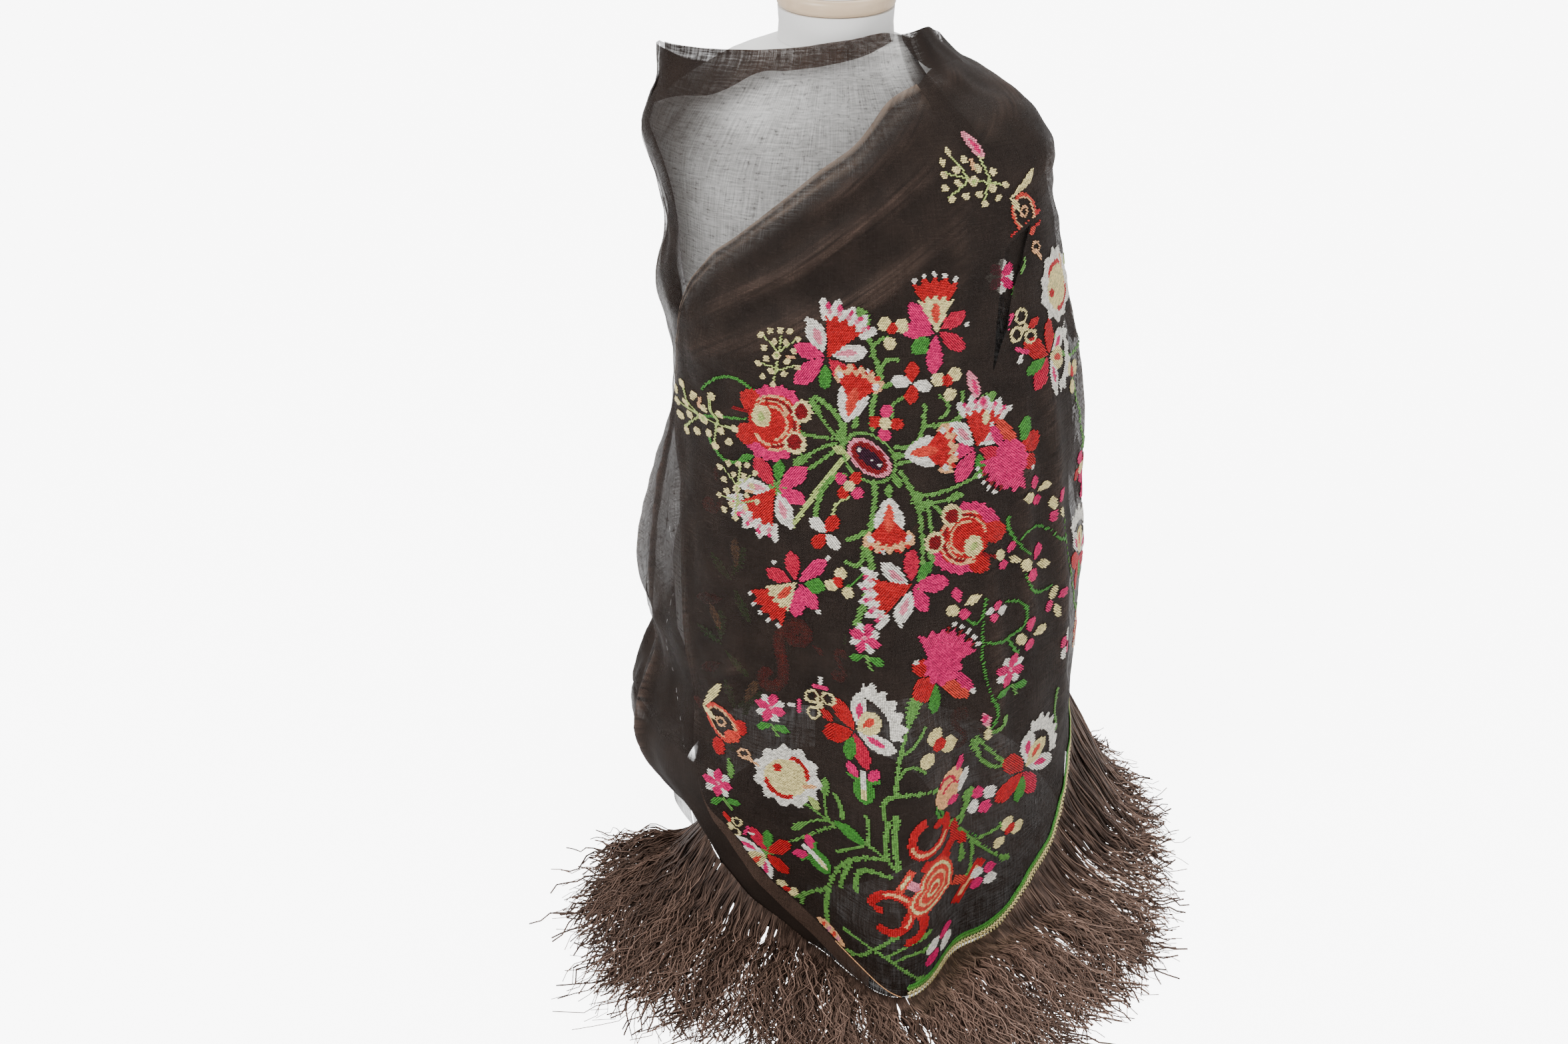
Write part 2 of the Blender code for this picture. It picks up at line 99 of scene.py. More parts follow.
Fold = namedtuple("Fold", "low_angle high_angle low high width out")
FOLDS = {
    "left_outer": Fold(-100.0, -96.0, 0.10, 0.52, 9.0, 0.008),
    "left_inner": Fold(-70.0, -64.0, 0.16, 0.60, 7.0, 0.006),
    "left_back": Fold(-130.0, -120.0, 0.05, 0.74, 10.0, 0.012),
    "back_left": Fold(-158.0, -150.0, 0.02, 0.70, 9.0, 0.011),
    "back_middle": Fold(178.0, 172.0, 0.04, 0.72, 11.0, 0.014),
    "back_right": Fold(146.0, 150.0, 0.03, 0.66, 9.0, 0.010),
    "right_back": Fold(118.0, 120.0, 0.06, 0.70, 8.0, 0.009),
}
FOLD_FADE = 0.42
CREASE_END = 0.03  # of a crease's length, where it is shallowest

EDGES = {
    "table": ((-180.0, TABLE_GAP), (180.0, TABLE_GAP)),
    "back_hem": ((100.0, 0.012), (150.0, 0.030), (190.0, 0.044), (236.0, 0.001)),
    "front_top": (
        (-84.0, 0.874), (-59.0, 0.876), (-37.0, 0.879), (9.0, 0.887), (49.0, 0.889), (58.0, 0.884),
    ),
    "left_top": ((236.0, 0.828), (250.0, 0.838), (262.0, 0.856), (276.0, 0.874)),
    "back_top": ((58.0, 0.800), (118.0, 0.795), (180.0, 0.792), (236.0, 0.828)),
    "turned_edge": (
        (-82.0, 0.818), (-70.6, 0.833), (-59.6, 0.839), (-48.6, 0.857), (-32.0, 0.861),
        (-4.7, 0.866), (27.0, 0.875), (44.0, 0.884),
    ),
    "diagonal": (
        (-66.0, 0.562), (-58.0, 0.617), (-54.0, 0.661), (-46.6, 0.696), (-34.0, 0.728),
        (-20.0, 0.760), (-8.0, 0.783), (8.0, 0.803), (30.0, 0.836), (48.0, 0.847),
    ),
    "panel_low": (
        (-66.0, 0.548), (-62.0, 0.505), (-54.0, 0.457), (-48.0, 0.390), (-43.0, 0.290), (-39.0, 0.204),
        (-36.0, 0.162), (-28.0, 0.124), (-20.0, 0.087), (-9.5, 0.055), (1.5, 0.035), (8.0, 0.024),
        (15.0, 0.001), (36.0, 0.001), (44.0, 0.010), (48.0, 0.021),
    ),
    "outer_hem": (
        (15.0, 0.001), (36.0, 0.001), (44.0, 0.010), (51.0, 0.030), (66.0, 0.058), (76.0, 0.098),
        (90.0, 0.145), (110.0, 0.182), (130.0, 0.200), (150.0, 0.210),
    ),
    "slit_front": (
        (48.3, 0.604), (50.0, 0.633), (52.5, 0.672), (55.5, 0.704), (60.0, 0.715), (66.0, 0.722),
        (80.0, 0.730), (118.0, 0.728), (165.0, 0.735),
    ),
    "neck_seam": (
        (48.3, 0.846), (60.0, 0.856), (75.0, 0.856), (95.0, 0.850), (130.0, 0.815), (165.0, 0.785),
    ),
    "neck_top": ((49.5, 0.889), (82.0, 0.884), (95.0, 0.874), (130.0, 0.836), (165.0, 0.806)),
}
Beside = namedtuple("Beside", "edge gap")
SLIT_GAPS = (
    (48.3, -0.004), (50.4, -0.022), (53.5, -0.050), (56.5, -0.042), (61.0, -0.020), (66.0, 0.0),
    (150.0, 0.0),
)
NECK_GAPS = ((49.5, 0.036), (54.0, 0.018), (60.0, 0.0), (165.0, 0.0))
EDGES_BESIDE = {
    "slit_back": Beside("slit_front", SLIT_GAPS),
    "neck_front": Beside("neck_seam", NECK_GAPS),
    "turn_high": Beside("panel_low", ((-36.0, 0.0), (9.0, 0.0))),
    "turn_low": Beside("panel_low", ((-36.0, -0.003), (-28.0, -0.024), (9.0, -0.024))),
}

# The slight unevenness of all the cloth: the size of each wave, its turn in radians and its depth
Ripple = namedtuple("Ripple", "size turn depth")
RIPPLES = (
    Ripple(0.047, 0.4, 0.0004),
    Ripple(0.031, 1.7, 0.0003),
    Ripple(0.071, 2.6, 0.0005),
    Ripple(0.023, 0.9, 0.0002),
)

# The creases, each a soft ridge or trough from one point of the wrap to another
Crease = namedtuple("Crease", "angle_1 height_1 angle_2 height_2 width out")
CREASES = {
    "inner": (
        Crease(-66.0, 0.835, -71.0, 0.770, 0.006, -0.0022),
        Crease(-71.0, 0.770, -74.0, 0.640, 0.012, 0.0016),
        Crease(-58.0, 0.800, -10.0, 0.770, 0.020, -0.0012),
        Crease(-60.0, 0.740, -30.0, 0.745, 0.016, 0.0010),
        Crease(20.0, 0.880, 34.0, 0.845, 0.007, -0.0016),
        Crease(-78.0, 0.560, -68.0, 0.300, 0.010, 0.0060),
        Crease(-90.0, 0.520, -78.0, 0.260, 0.010, -0.0060),
        Crease(-86.0, 0.330, -60.0, 0.100, 0.012, 0.0070),
        Crease(-98.0, 0.260, -72.0, 0.120, 0.010, -0.0060),
        Crease(-88.0, 0.760, -84.0, 0.600, 0.010, 0.0040),
        Crease(-94.0, 0.800, -98.0, 0.620, 0.009, 0.0030),
        Crease(-108.0, 0.700, -104.0, 0.420, 0.012, -0.0050),
        Crease(-92.0, 0.480, -98.0, 0.220, 0.010, 0.0055),
        Crease(-112.0, 0.420, -106.0, 0.120, 0.011, 0.0060),
        Crease(-90.0, 0.260, -102.0, 0.040, 0.010, -0.0040),
        Crease(160.0, 0.780, 164.0, 0.420, 0.010, 0.0050),
        Crease(192.0, 0.780, 188.0, 0.250, 0.013, -0.0055),
        Crease(206.0, 0.700, 214.0, 0.120, 0.011, 0.0060),
        Crease(226.0, 0.760, 222.0, 0.420, 0.009, -0.0040),
        Crease(166.0, 0.400, 172.0, 0.060, 0.012, 0.0070),
        Crease(184.0, 0.300, 178.0, 0.050, 0.010, -0.0060),
        Crease(232.0, 0.520, 240.0, 0.140, 0.012, 0.0060),
        Crease(198.0, 0.780, 176.0, 0.640, 0.010, 0.0045),
    ),
    "outer": (
        Crease(-52.0, 0.640, 46.0, 0.800, 0.010, 0.0068),
        Crease(-40.0, 0.672, 40.0, 0.822, 0.007, -0.0010),
        Crease(-56.0, 0.600, 30.0, 0.705, 0.014, 0.0055),
        Crease(-16.0, 0.742, 48.0, 0.830, 0.007, 0.0050),
        Crease(-60.0, 0.575, -5.0, 0.615, 0.008, -0.0012),
        Crease(-10.0, 0.640, 46.0, 0.745, 0.011, 0.0050),
        Crease(46.0, 0.790, 30.0, 0.500, 0.013, 0.0030),
        Crease(-62.0, 0.552, -20.0, 0.566, 0.007, 0.0040),
        Crease(-50.0, 0.440, -38.0, 0.210, 0.010, 0.0035),
        Crease(-24.0, 0.380, -30.0, 0.190, 0.014, 0.0030),
        Crease(44.0, 0.470, 43.0, 0.120, 0.010, 0.0050),
        Crease(20.0, 0.330, 30.0, 0.090, 0.022, 0.0040),
        Crease(56.0, 0.600, 54.0, 0.300, 0.010, 0.0050),
        Crease(64.0, 0.620, 70.0, 0.200, 0.012, 0.0055),
        Crease(84.0, 0.700, 88.0, 0.260, 0.014, 0.0060),
        Crease(100.0, 0.700, 106.0, 0.240, 0.012, 0.0050),
        Crease(122.0, 0.700, 128.0, 0.260, 0.013, 0.0060),
        Crease(50.0, 0.800, 110.0, 0.842, 0.010, 0.0045),
        Crease(46.0, 0.762, 150.0, 0.780, 0.012, 0.0042),
        Crease(40.0, 0.834, 84.0, 0.852, 0.006, 0.0032),
        Crease(54.0, 0.744, 120.0, 0.752, 0.010, 0.0035),
    ),
}

# Each stretch of cloth: where it lies, how many layers of gauze it has, how it is cut and held
Stretch = namedtuple(
    "Stretch",
    "start end low_edge high_edge layer swell creases gauze slot columns rows flat area held rests_on",
)
STRETCHES = {
    "inner_front": Stretch(
        -84.0, 58.0, "table", "front_top", 0.0, 0.0, "inner", "single", "gauze", 94, 126,
        (0.52, 0.90), 0.45, "draped", "form_torso",
    ),
    "inner_right": Stretch(
        58.0, 118.0, "table", "back_top", 0.0, 0.0, "inner", "single", "gauze", 42, 84,
        (0.26, 0.82), 0.205, "draped", "form_torso",
    ),
    "back_wrap": Stretch(
        118.0, 236.0, "back_hem", "back_top", 0.0, 0.0, "inner", "single", "gauze", 80, 96,
        (0.42, 0.79), 0.32, "draped", "form_torso",
    ),
    "left_side": Stretch(
        236.0, 276.0, "table", "left_top", 0.0, 0.0, "inner", "single", "gauze", 36, 120,
        (0.14, 0.86), 0.115, "draped", "form_torso",
    ),
    "top_fold": Stretch(
        -82.0, 44.0, "turned_edge", "front_top", TURNED_LAYER, 0.0, "inner", "turned", "doubled_gauze",
        110, 10, (0.26, 0.04), 0.0066, "folded", "inner_front",
    ),
    "front_panel": Stretch(
        -66.0, 48.0, "panel_low", "diagonal", OUTER_LAYER, SWELL, "outer", "doubled", "doubled_gauze",
        98, 132, (0.42, 0.86), 0.28, "folded", "inner_front",
    ),
    "side_fold": Stretch(
        48.0, 150.0, "outer_hem", "slit_back", OUTER_LAYER, SWELL, "outer", "side", "doubled_gauze", 80, 96,
        (0.44, 0.66), 0.255, "draped", "inner_right",
    ),
    "shoulder_fold": Stretch(
        48.0, 165.0, "slit_front", "neck_seam", OUTER_LAYER, 0.0, "outer", "doubled", "doubled_gauze", 92, 34,
        (0.38, 0.14), 0.049, "draped", "form_torso",
    ),
    "neck_fold": Stretch(
        49.5, 165.0, "neck_front", "neck_top", OUTER_LAYER, 0.0, "outer", "doubled", "doubled_gauze", 70, 10,
        (0.22, 0.035), 0.0068, "folded", "form_torso",
    ),
    "under_turn": Stretch(
        -36.0, 9.0, "turn_low", "turn_high", OUTER_LAYER - 0.0006, 0.0, "outer", "turned", "gauze", 50, 8,
        (0.24, 0.03), 0.0050, "folded", "inner_front",
    ),
}


def through(xs, ys, at):
    """A smooth curve through the points (xs, ys), level beyond its ends, read at at."""
    xs, ys, at = np.asarray(xs, float), np.asarray(ys, float), np.asarray(at, float)
    slopes = np.gradient(ys, xs)
    i = np.clip(np.searchsorted(xs, at) - 1, 0, len(xs) - 2)
    span = xs[i + 1] - xs[i]
    t = np.clip((at - xs[i]) / span, 0.0, 1.0)
    start = ys[i] * (1 + 2 * t) * (1 - t) ** 2 + slopes[i] * span * t * (1 - t) ** 2
    end = ys[i + 1] * (3 - 2 * t) * t**2 - slopes[i + 1] * span * (1 - t) * t**2
    return start + end


def bump(offset, width):
    """One at no offset, falling smoothly to nothing over about twice the width."""
    return np.exp(-((offset / width) ** 2))


def turned(angle, centre):
    """The angle from centre, in degrees, the short way round."""
    return (np.asarray(angle) - centre + 180.0) % 360.0 - 180.0


def wrap_radius(angle, height):
    """How far the wrap's outer surface is from the form's axis."""
    heights, *reaches = np.array(WRAP_ROWS).T
    left, right, front, back = (through(heights, reach, height) for reach in reaches)
    across, forward = np.sin(np.radians(angle)), np.cos(np.radians(angle))
    side = np.where(across > 0, right, left)
    depth = np.where(forward > 0, front, back)
    power = SECTION_POWER
    radius = (np.abs(across / side) ** power + np.abs(forward / depth) ** power) ** (-1 / power)
    for lobe in LOBES.values():
        beside = bump(turned(angle, lobe.angle), lobe.angle_width)
        radius = radius + lobe.out * beside * bump(height - lobe.height, lobe.height_width)
    for fold in FOLDS.values():
        share = (height - fold.low) / (fold.high - fold.low)
        centre = fold.low_angle + turned(fold.high_angle, fold.low_angle) * np.clip(share, 0.0, 1.0)
        radius = radius + fold.out * bump(turned(angle, centre), fold.width) * bump(share - 0.5, FOLD_FADE)
    return radius


def wrap_point(angle, height):
    """Points on the wrap's outer surface."""
    radius, turn = wrap_radius(angle, height), np.radians(angle)
    return np.stack([radius * np.sin(turn), -radius * np.cos(turn), height], -1)


def wrap_normal(angle, height):
    """The wrap's outward normals."""
    step = np.degrees(NORMAL_STEP / USUAL_RADIUS)
    around = wrap_point(angle + step, height) - wrap_point(angle - step, height)
    up = wrap_point(angle, height + NORMAL_STEP) - wrap_point(angle, height - NORMAL_STEP)
    normal = np.cross(around, up)
    normal[..., 2] *= np.clip(height / TABLE_ZONE, 0.0, 1.0)
    return normal / np.linalg.norm(normal, axis=-1, keepdims=True)


def edge_height(edge, angle):
    """The height of a named edge at an angle."""
    if edge in EDGES_BESIDE:
        beside = EDGES_BESIDE[edge]
        gap = np.interp(angle, *np.array(beside.gap).T)
        return np.maximum(edge_height(beside.edge, angle) + gap, TABLE_GAP)
    angles, heights = np.array(EDGES[edge]).T
    return np.maximum(through(angles, heights, angle), TABLE_GAP)


def smooth_step(share):
    """A smooth rise from nothing to one."""
    share = np.clip(share, 0.0, 1.0)
    return share * share * (3.0 - 2.0 * share)


def window(share):
    """Nothing near both ends of a stretch, and one in its middle."""
    return np.sin(pi * np.clip((share - EDGE_SHARE) / (1.0 - 2 * EDGE_SHARE), 0.0, 1.0))


def crease_out(layer, angle, height):
    """How far a layer's creases push it out, and a slight unevenness all over."""
    out = np.zeros(np.broadcast(angle, height).shape)
    for crease in CREASES[layer]:
        run = np.radians(crease.angle_2 - crease.angle_1) * USUAL_RADIUS
        rise = crease.height_2 - crease.height_1
        across = np.radians(turned(angle, crease.angle_1)) * USUAL_RADIUS
        up = height - crease.height_1
        share = (across * run + up * rise) / (run**2 + rise**2)
        near = np.clip(share, 0.0, 1.0)
        distance = np.hypot(across - near * run, up - near * rise)
        fade = np.sin(pi * np.clip(share, CREASE_END, 1.0 - CREASE_END)) ** 0.5
        out = out + crease.out * bump(distance, crease.width) * fade
    across = np.radians(angle) * USUAL_RADIUS
    for size, turn, depth in RIPPLES:
        out = out + depth * np.sin(2 * pi * (across * cos(turn) + height * sin(turn)) / size + 7 * turn)
    return out


def lift(name, angle, height):
    """How far a stretch of cloth lies out from the wrap."""
    stretch = STRETCHES[name]
    low, high = edge_height(stretch.low_edge, angle), edge_height(stretch.high_edge, angle)
    along = (angle - stretch.start) / (stretch.end - stretch.start)
    up = np.clip((height - low) / np.maximum(high - low, 0.001), 0.0, 1.0)
    swell = stretch.swell * window(along) * window(up)
    return stretch.layer + swell + crease_out(stretch.creases, angle, height)


def on_cloth(name, angle, height, above=0.0):
    """Points on a stretch of cloth, or a little above it."""
    angle, height = np.broadcast_arrays(np.asarray(angle, float), np.asarray(height, float))
    out = lift(name, angle, height) + above
    point = wrap_point(angle, height) + wrap_normal(angle, height) * out[..., None]
    point[..., 2] = np.maximum(point[..., 2], TABLE_GAP)
    return point


def cloth_frame(name, angle, height, above=0.0):
    """Points on a stretch of cloth with two directions that lie in it and its normal."""
    step, rise = FRAME_STEP, FRAME_RISE
    point = on_cloth(name, angle, height, above)
    around = on_cloth(name, angle + step, height, above) - on_cloth(name, angle - step, height, above)
    up = on_cloth(name, angle, height + rise, above) - on_cloth(name, angle, height - rise, above)
    around /= np.linalg.norm(around, axis=-1, keepdims=True)
    normal = np.cross(around, up)
    normal /= np.linalg.norm(normal, axis=-1, keepdims=True)
    return point, around, np.cross(normal, around), normal


# ---------------------------------------------------------------- materials

def new_group(name, inputs, outputs, family="ShaderNodeTree"):
    """An empty group of nodes with named inputs and outputs."""
    group = bpy.data.node_groups.new(name, family)
    for socket, (kind, value) in inputs.items():
        made = group.interface.new_socket(name=socket, in_out="INPUT", socket_type=kind)
        if value is not None:
            made.default_value = value
    for socket, kind in outputs.items():
        group.interface.new_socket(name=socket, in_out="OUTPUT", socket_type=kind)
    return group, Wires(group)


class Wires:
    """Short ways to add and join the nodes of one tree. Colours are given by their first three values."""

    def __init__(self, tree):
        self.tree = tree

    def add(self, kind, inputs=(), **settings):
        node = self.tree.nodes.new(kind)
        for key, value in settings.items():
            setattr(node, key, value)
        for key, value in dict(inputs).items():
            if isinstance(value, bpy.types.NodeSocket):
                self.tree.links.new(value, node.inputs[key])
            else:
                node.inputs[key].default_value = value
        return node

    def join(self, output, socket):
        self.tree.links.new(output, socket)

    def attribute(self, name, output="Fac"):
        return self.add("ShaderNodeAttribute", attribute_name=name).outputs[output]

    def math(self, operation, a, b=0.0, c=0.0):
        return self.add("ShaderNodeMath", {0: a, 1: b, 2: c}, operation=operation).outputs[0]

    def spread(self, value, middle, times):
        return self.math("MULTIPLY", self.math("SUBTRACT", value, middle), times)

    def clamp(self, value, low=0.0, high=1.0):
        return self.add("ShaderNodeClamp", {"Value": value, "Min": low, "Max": high}).outputs[0]

    def vector(self, operation, a, b):
        return self.add("ShaderNodeVectorMath", {0: a, 1: b}, operation=operation).outputs[0]

    def mix(self, factor, a, b):
        a, b = (c if isinstance(c, bpy.types.NodeSocket) else (*c, 1.0) for c in (a, b))
        return self.add("ShaderNodeMix", {0: factor, 6: a, 7: b}, data_type="RGBA").outputs[2]

    def noise(self, vector, scale, detail=2.0, output="Fac"):
        values = {"Vector": vector, "Scale": scale, "Detail": detail}
        return self.add("ShaderNodeTexNoise", values).outputs[output]

    def scaled(self, vector, x, y, z):
        return self.add("ShaderNodeMapping", {"Vector": vector, "Scale": (x, y, z)}).outputs[0]

    def bump(self, height, strength, distance):
        values = {"Height": height, "Strength": strength, "Distance": distance}
        return self.add("ShaderNodeBump", values).outputs[0]


# The gauze: how far its threads wander in metres, its slubs, its closer places and its flecks
WANDER_SCALE = 45.0
THREAD_WANDER = (0.003, 0.003, 0.0)
SLUB_LONG = 35.0
SLUB_FINE = 700.0
SLUB_SHARE = 2.6
GRID_MIDDLE = 0.6
GRID_SHARE = 0.5
CLOUD_SCALE = 28.0
CLOUD_SHARE = 0.9
FLECK_SCALE = (120.0, 330.0, 1.0)
FLECK_FROM = 0.56
FLECK_SHARE = 6.0
LEAST_COVER = 0.05


def weave_group():
    """Gauze: how much of it is thread, how its colour varies, and its relief."""
    inputs = {
        "Cloth": ("NodeSocketVector", (0.0, 0.0, 0.0)),
        "Pitch": ("NodeSocketFloat", 0.0011),
        "Cover": ("NodeSocketFloat", 0.5),
        "Unevenness": ("NodeSocketFloat", 0.3),
    }
    outputs = {"Cover": "NodeSocketFloat", "Tint": "NodeSocketFloat", "Relief": "NodeSocketFloat"}
    group, wires = new_group("gauze_weave", inputs, outputs)
    source = wires.add("NodeGroupInput").outputs
    wander = wires.noise(source["Cloth"], WANDER_SCALE, output="Color")
    cloth = wires.vector("ADD", source["Cloth"], wires.vector("MULTIPLY", wander, THREAD_WANDER))
    parts = wires.add("ShaderNodeSeparateXYZ", {0: cloth}).outputs
    turns = wires.math("DIVIDE", 2 * pi, source["Pitch"])
    threads = []
    for axis in ("X", "Y"):
        wave = wires.math("COSINE", wires.math("MULTIPLY", parts[axis], turns))
        threads.append(wires.math("MULTIPLY_ADD", wave, 0.5, 0.5))
    grid = wires.math("MAXIMUM", *threads)
    across = wires.noise(wires.scaled(cloth, SLUB_LONG, SLUB_FINE, 1.0), 1.0)
    along = wires.noise(wires.scaled(cloth, SLUB_FINE, SLUB_LONG, 1.0), 1.0)
    slubs = wires.math("ADD", across, along)
    clouds = wires.noise(cloth, CLOUD_SCALE, 3.0)
    uneven = wires.spread(slubs, 1.0, SLUB_SHARE)
    uneven = wires.math("ADD", uneven, wires.spread(grid, GRID_MIDDLE, GRID_SHARE))
    uneven = wires.math("ADD", uneven, wires.spread(clouds, 0.5, CLOUD_SHARE))
    flecks = wires.noise(wires.scaled(cloth, *FLECK_SCALE), 1.0, 3.0)
    flecks = wires.clamp(wires.spread(flecks, FLECK_FROM, FLECK_SHARE))
    uneven = wires.math("ADD", uneven, flecks)
    cover = wires.math("MULTIPLY_ADD", uneven, source["Unevenness"], source["Cover"])
    cover = wires.clamp(cover, LEAST_COVER)
    wires.add("NodeGroupOutput", {"Cover": cover, "Tint": clouds, "Relief": slubs})
    return group


def principled(name, colour, roughness, metallic=0.0, **constants):
    """A new material with its shader's constant values."""
    made = bpy.data.materials.new(name)
    made.use_nodes = True
    wires = Wires(made.node_tree)
    shader = made.node_tree.nodes["Principled BSDF"]
    shader.inputs["Base Color"].default_value = (*colour, 1.0)
    shader.inputs["Roughness"].default_value = roughness
    shader.inputs["Metallic"].default_value = metallic
    for key, value in constants.items():
        shader.inputs[key.replace("_", " ").title().replace("Ior", "IOR")].default_value = value
    return made, wires, shader


# Long diagonal streaks, which break the painted sheen on crease ridges and the selvage's colour into strands
DRAG_TURN = radians(-27.0)
DRAG_SCALE = (10.0, 260.0, 1.0)
DRAG_CONTRAST = 3.2
DRAG_LEVEL = -1.1
SELVAGE_BROWN = (0.34, 0.25, 0.19)
GAUZE_DARK = (0.0075, 0.0052, 0.0042)
GAUZE_LIGHT = (0.0270, 0.0175, 0.0132)
# painted sheen: the lighter brown mixed onto the ridges of the creases
PAINTED_SHEEN_BROWN = (0.0800, 0.0510, 0.0390)
BAND_DARK = (0.0340, 0.0205, 0.0150)
BAND_LIGHT = (0.0820, 0.0500, 0.0370)


def gauze_material(name, cover, dark, light, unevenness):
    """One kind of gauze, by how much thread stands in the light's way, with a painted sheen on the ridges of
    its creases.
    """
    made, wires, shader = principled(name, dark, 0.65, specular_ior_level=0.12)
    cloth = wires.add("ShaderNodeUVMap", uv_map="cloth").outputs[0]
    weave = wires.add("ShaderNodeGroup", node_tree=bpy.data.node_groups["gauze_weave"])
    selvage, ridge, extra_cover_with_fold_shade = (wires.attribute(mark) for mark in ("selvage", "ridge", "extra_cover_with_fold_shade"))
    dragged = wires.add("ShaderNodeMapping", {"Vector": cloth, "Rotation": (0.0, 0.0, DRAG_TURN)})
    drag = wires.noise(wires.scaled(dragged.outputs[0], *DRAG_SCALE), 1.0, 3.0)
    drag = wires.math("MULTIPLY_ADD", drag, DRAG_CONTRAST, DRAG_LEVEL)
    # painted sheen: lighter brown on the ridges of the creases, in diagonal streaks
    painted_ridge_sheen = wires.clamp(wires.math("MULTIPLY", ridge, drag))
    edge = wires.clamp(wires.math("MULTIPLY", selvage, wires.math("MULTIPLY_ADD", drag, 0.6, 0.5)))
    colour = wires.mix(painted_ridge_sheen, wires.mix(weave.outputs["Tint"], dark, light), PAINTED_SHEEN_BROWN)
    evened = wires.math("MULTIPLY_ADD", extra_cover_with_fold_shade, -1.5 * unevenness, unevenness)
    wires.join(cloth, weave.inputs["Cloth"])
    wires.join(wires.math("ADD", extra_cover_with_fold_shade, cover), weave.inputs["Cover"])
    wires.join(evened, weave.inputs["Unevenness"])
    wires.join(wires.mix(edge, colour, SELVAGE_BROWN), shader.inputs["Base Color"])
    wires.join(weave.outputs["Cover"], shader.inputs["Alpha"])
    wires.join(wires.bump(weave.outputs["Relief"], 0.35, 0.0006), shader.inputs["Normal"])
    return made


def floss_material():
    """Floss silk: each stitch in its own colour, with a satin sheen along it."""
    made, wires, shader = principled("floss_silk", (0.6, 0.1, 0.1), 0.42, specular_ior_level=0.25)
    floss = wires.attribute("floss", "Color")
    place = wires.add("ShaderNodeTexCoord").outputs["Object"]
    strands = wires.noise(place, 900.0, 2.0)
    shade = wires.math("MULTIPLY_ADD", strands, 0.7, 0.62)
    wires.join(wires.vector("MULTIPLY", floss, shade), shader.inputs["Base Color"])
    wires.join(wires.bump(strands, 0.3, 0.0003), shader.inputs["Normal"])
    return made


FRINGE_DARK = (0.046, 0.028, 0.021)
FRINGE_LIGHT = (0.330, 0.208, 0.158)


def fringe_material():
    """Crimped silk: dark brown threads and some lighter ones, with the painted shade and sheen their tone
    carries.
    """
    made, wires, shader = principled("fringe_silk", (0.08, 0.05, 0.035), 0.45, specular_ior_level=0.22)
    colour = wires.mix(wires.attribute("tone"), FRINGE_DARK, FRINGE_LIGHT)
    wires.join(colour, shader.inputs["Base Color"])
    return made


def jersey_material():
    """The form's knitted cover."""
    made, wires, shader = principled("jersey", (0.80, 0.79, 0.77), 0.85, sheen_weight=0.15)
    place = wires.add("ShaderNodeTexCoord").outputs["Object"]
    knit = wires.noise(wires.scaled(place, 900.0, 900.0, 350.0), 1.0, 1.0)
    soft = wires.noise(place, 30.0, 2.0)
    colour = wires.mix(soft, (0.76, 0.75, 0.73), (0.84, 0.83, 0.81))
    wires.join(colour, shader.inputs["Base Color"])
    wires.join(wires.bump(knit, 0.4, 0.0005), shader.inputs["Normal"])
    return made


def wood_material():
    """Pale turned wood under a satin varnish."""
    varnish = {"coat_weight": 0.3, "coat_roughness": 0.3}
    made, wires, shader = principled("pale_wood", (0.62, 0.44, 0.27), 0.4, **varnish)
    place = wires.add("ShaderNodeTexCoord").outputs["Object"]
    grain = wires.noise(wires.scaled(place, 14.0, 160.0, 160.0), 1.0, 4.0)
    colour = wires.mix(grain, (0.52, 0.37, 0.23), (0.72, 0.55, 0.37))
    wires.join(colour, shader.inputs["Base Color"])
    wires.join(wires.bump(grain, 0.15, 0.0005), shader.inputs["Normal"])
    return made


def steel_material():
    """Brushed steel, with its brush marks round the post."""
    made, wires, shader = principled("brushed_steel", (0.62, 0.62, 0.62), 0.35, 1.0)
    place = wires.add("ShaderNodeTexCoord").outputs["Object"]
    marks = wires.noise(wires.scaled(place, 20.0, 20.0, 1500.0), 1.0, 2.0)
    wires.join(wires.math("MULTIPLY_ADD", marks, 0.2, 0.25), shader.inputs["Roughness"])
    return made


weave_group()
GAUZE = {
    "single": gauze_material("gauze_single", 0.38, GAUZE_DARK, GAUZE_LIGHT, 0.30),
    "turned": gauze_material("gauze_turned", 0.86, BAND_DARK, BAND_LIGHT, 0.20),
    "doubled": gauze_material("gauze_doubled", 0.84, GAUZE_DARK, GAUZE_LIGHT, 0.16),
    "side": gauze_material("gauze_side", 0.86, GAUZE_DARK, GAUZE_LIGHT, 0.16),
}
FLOSS = floss_material()
FRINGE_SILK = fringe_material()
JERSEY = jersey_material()
WOOD = wood_material()
STEEL = steel_material()


# ---------------------------------------------------------------- making pieces

def mesh_object(name, points, faces, material):
    """A new smooth object of those points and faces."""
    mesh = bpy.data.meshes.new(name)
    mesh.from_pydata(np.asarray(points, float).tolist(), [], faces)
    mesh.update()
    mesh.shade_smooth()
    mesh.materials.append(material)
    made = bpy.data.objects.new(name, mesh)
    bpy.context.scene.collection.objects.link(made)
    return made


def set_points(mesh, attribute, values, kind="FLOAT", field="value"):
    """Give each point of a mesh its own value of an attribute."""
    values = np.asarray(values, np.float32).ravel()
    mesh.attributes.new(attribute, kind, "POINT").data.foreach_set(field, values)


def grid_faces(columns, rows):
    """Four-sided faces of a grid whose points run up each column in turn."""
    faces = []
    for i in range(columns - 1):
        for j in range(rows - 1):
            a = i * rows + j
            faces.append((a, a + rows, a + rows + 1, a + 1))
    return faces


def finish_piece(piece, slot, *nodes):
    """Fix a piece to the model's body, and hide the nodes it stands for. Its slot is not used."""
    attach(piece, "root")
    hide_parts(*nodes)
    return piece


# how far out a crease's ridge stands where its painted sheen is full
RIDGE_HIGH = 0.0075

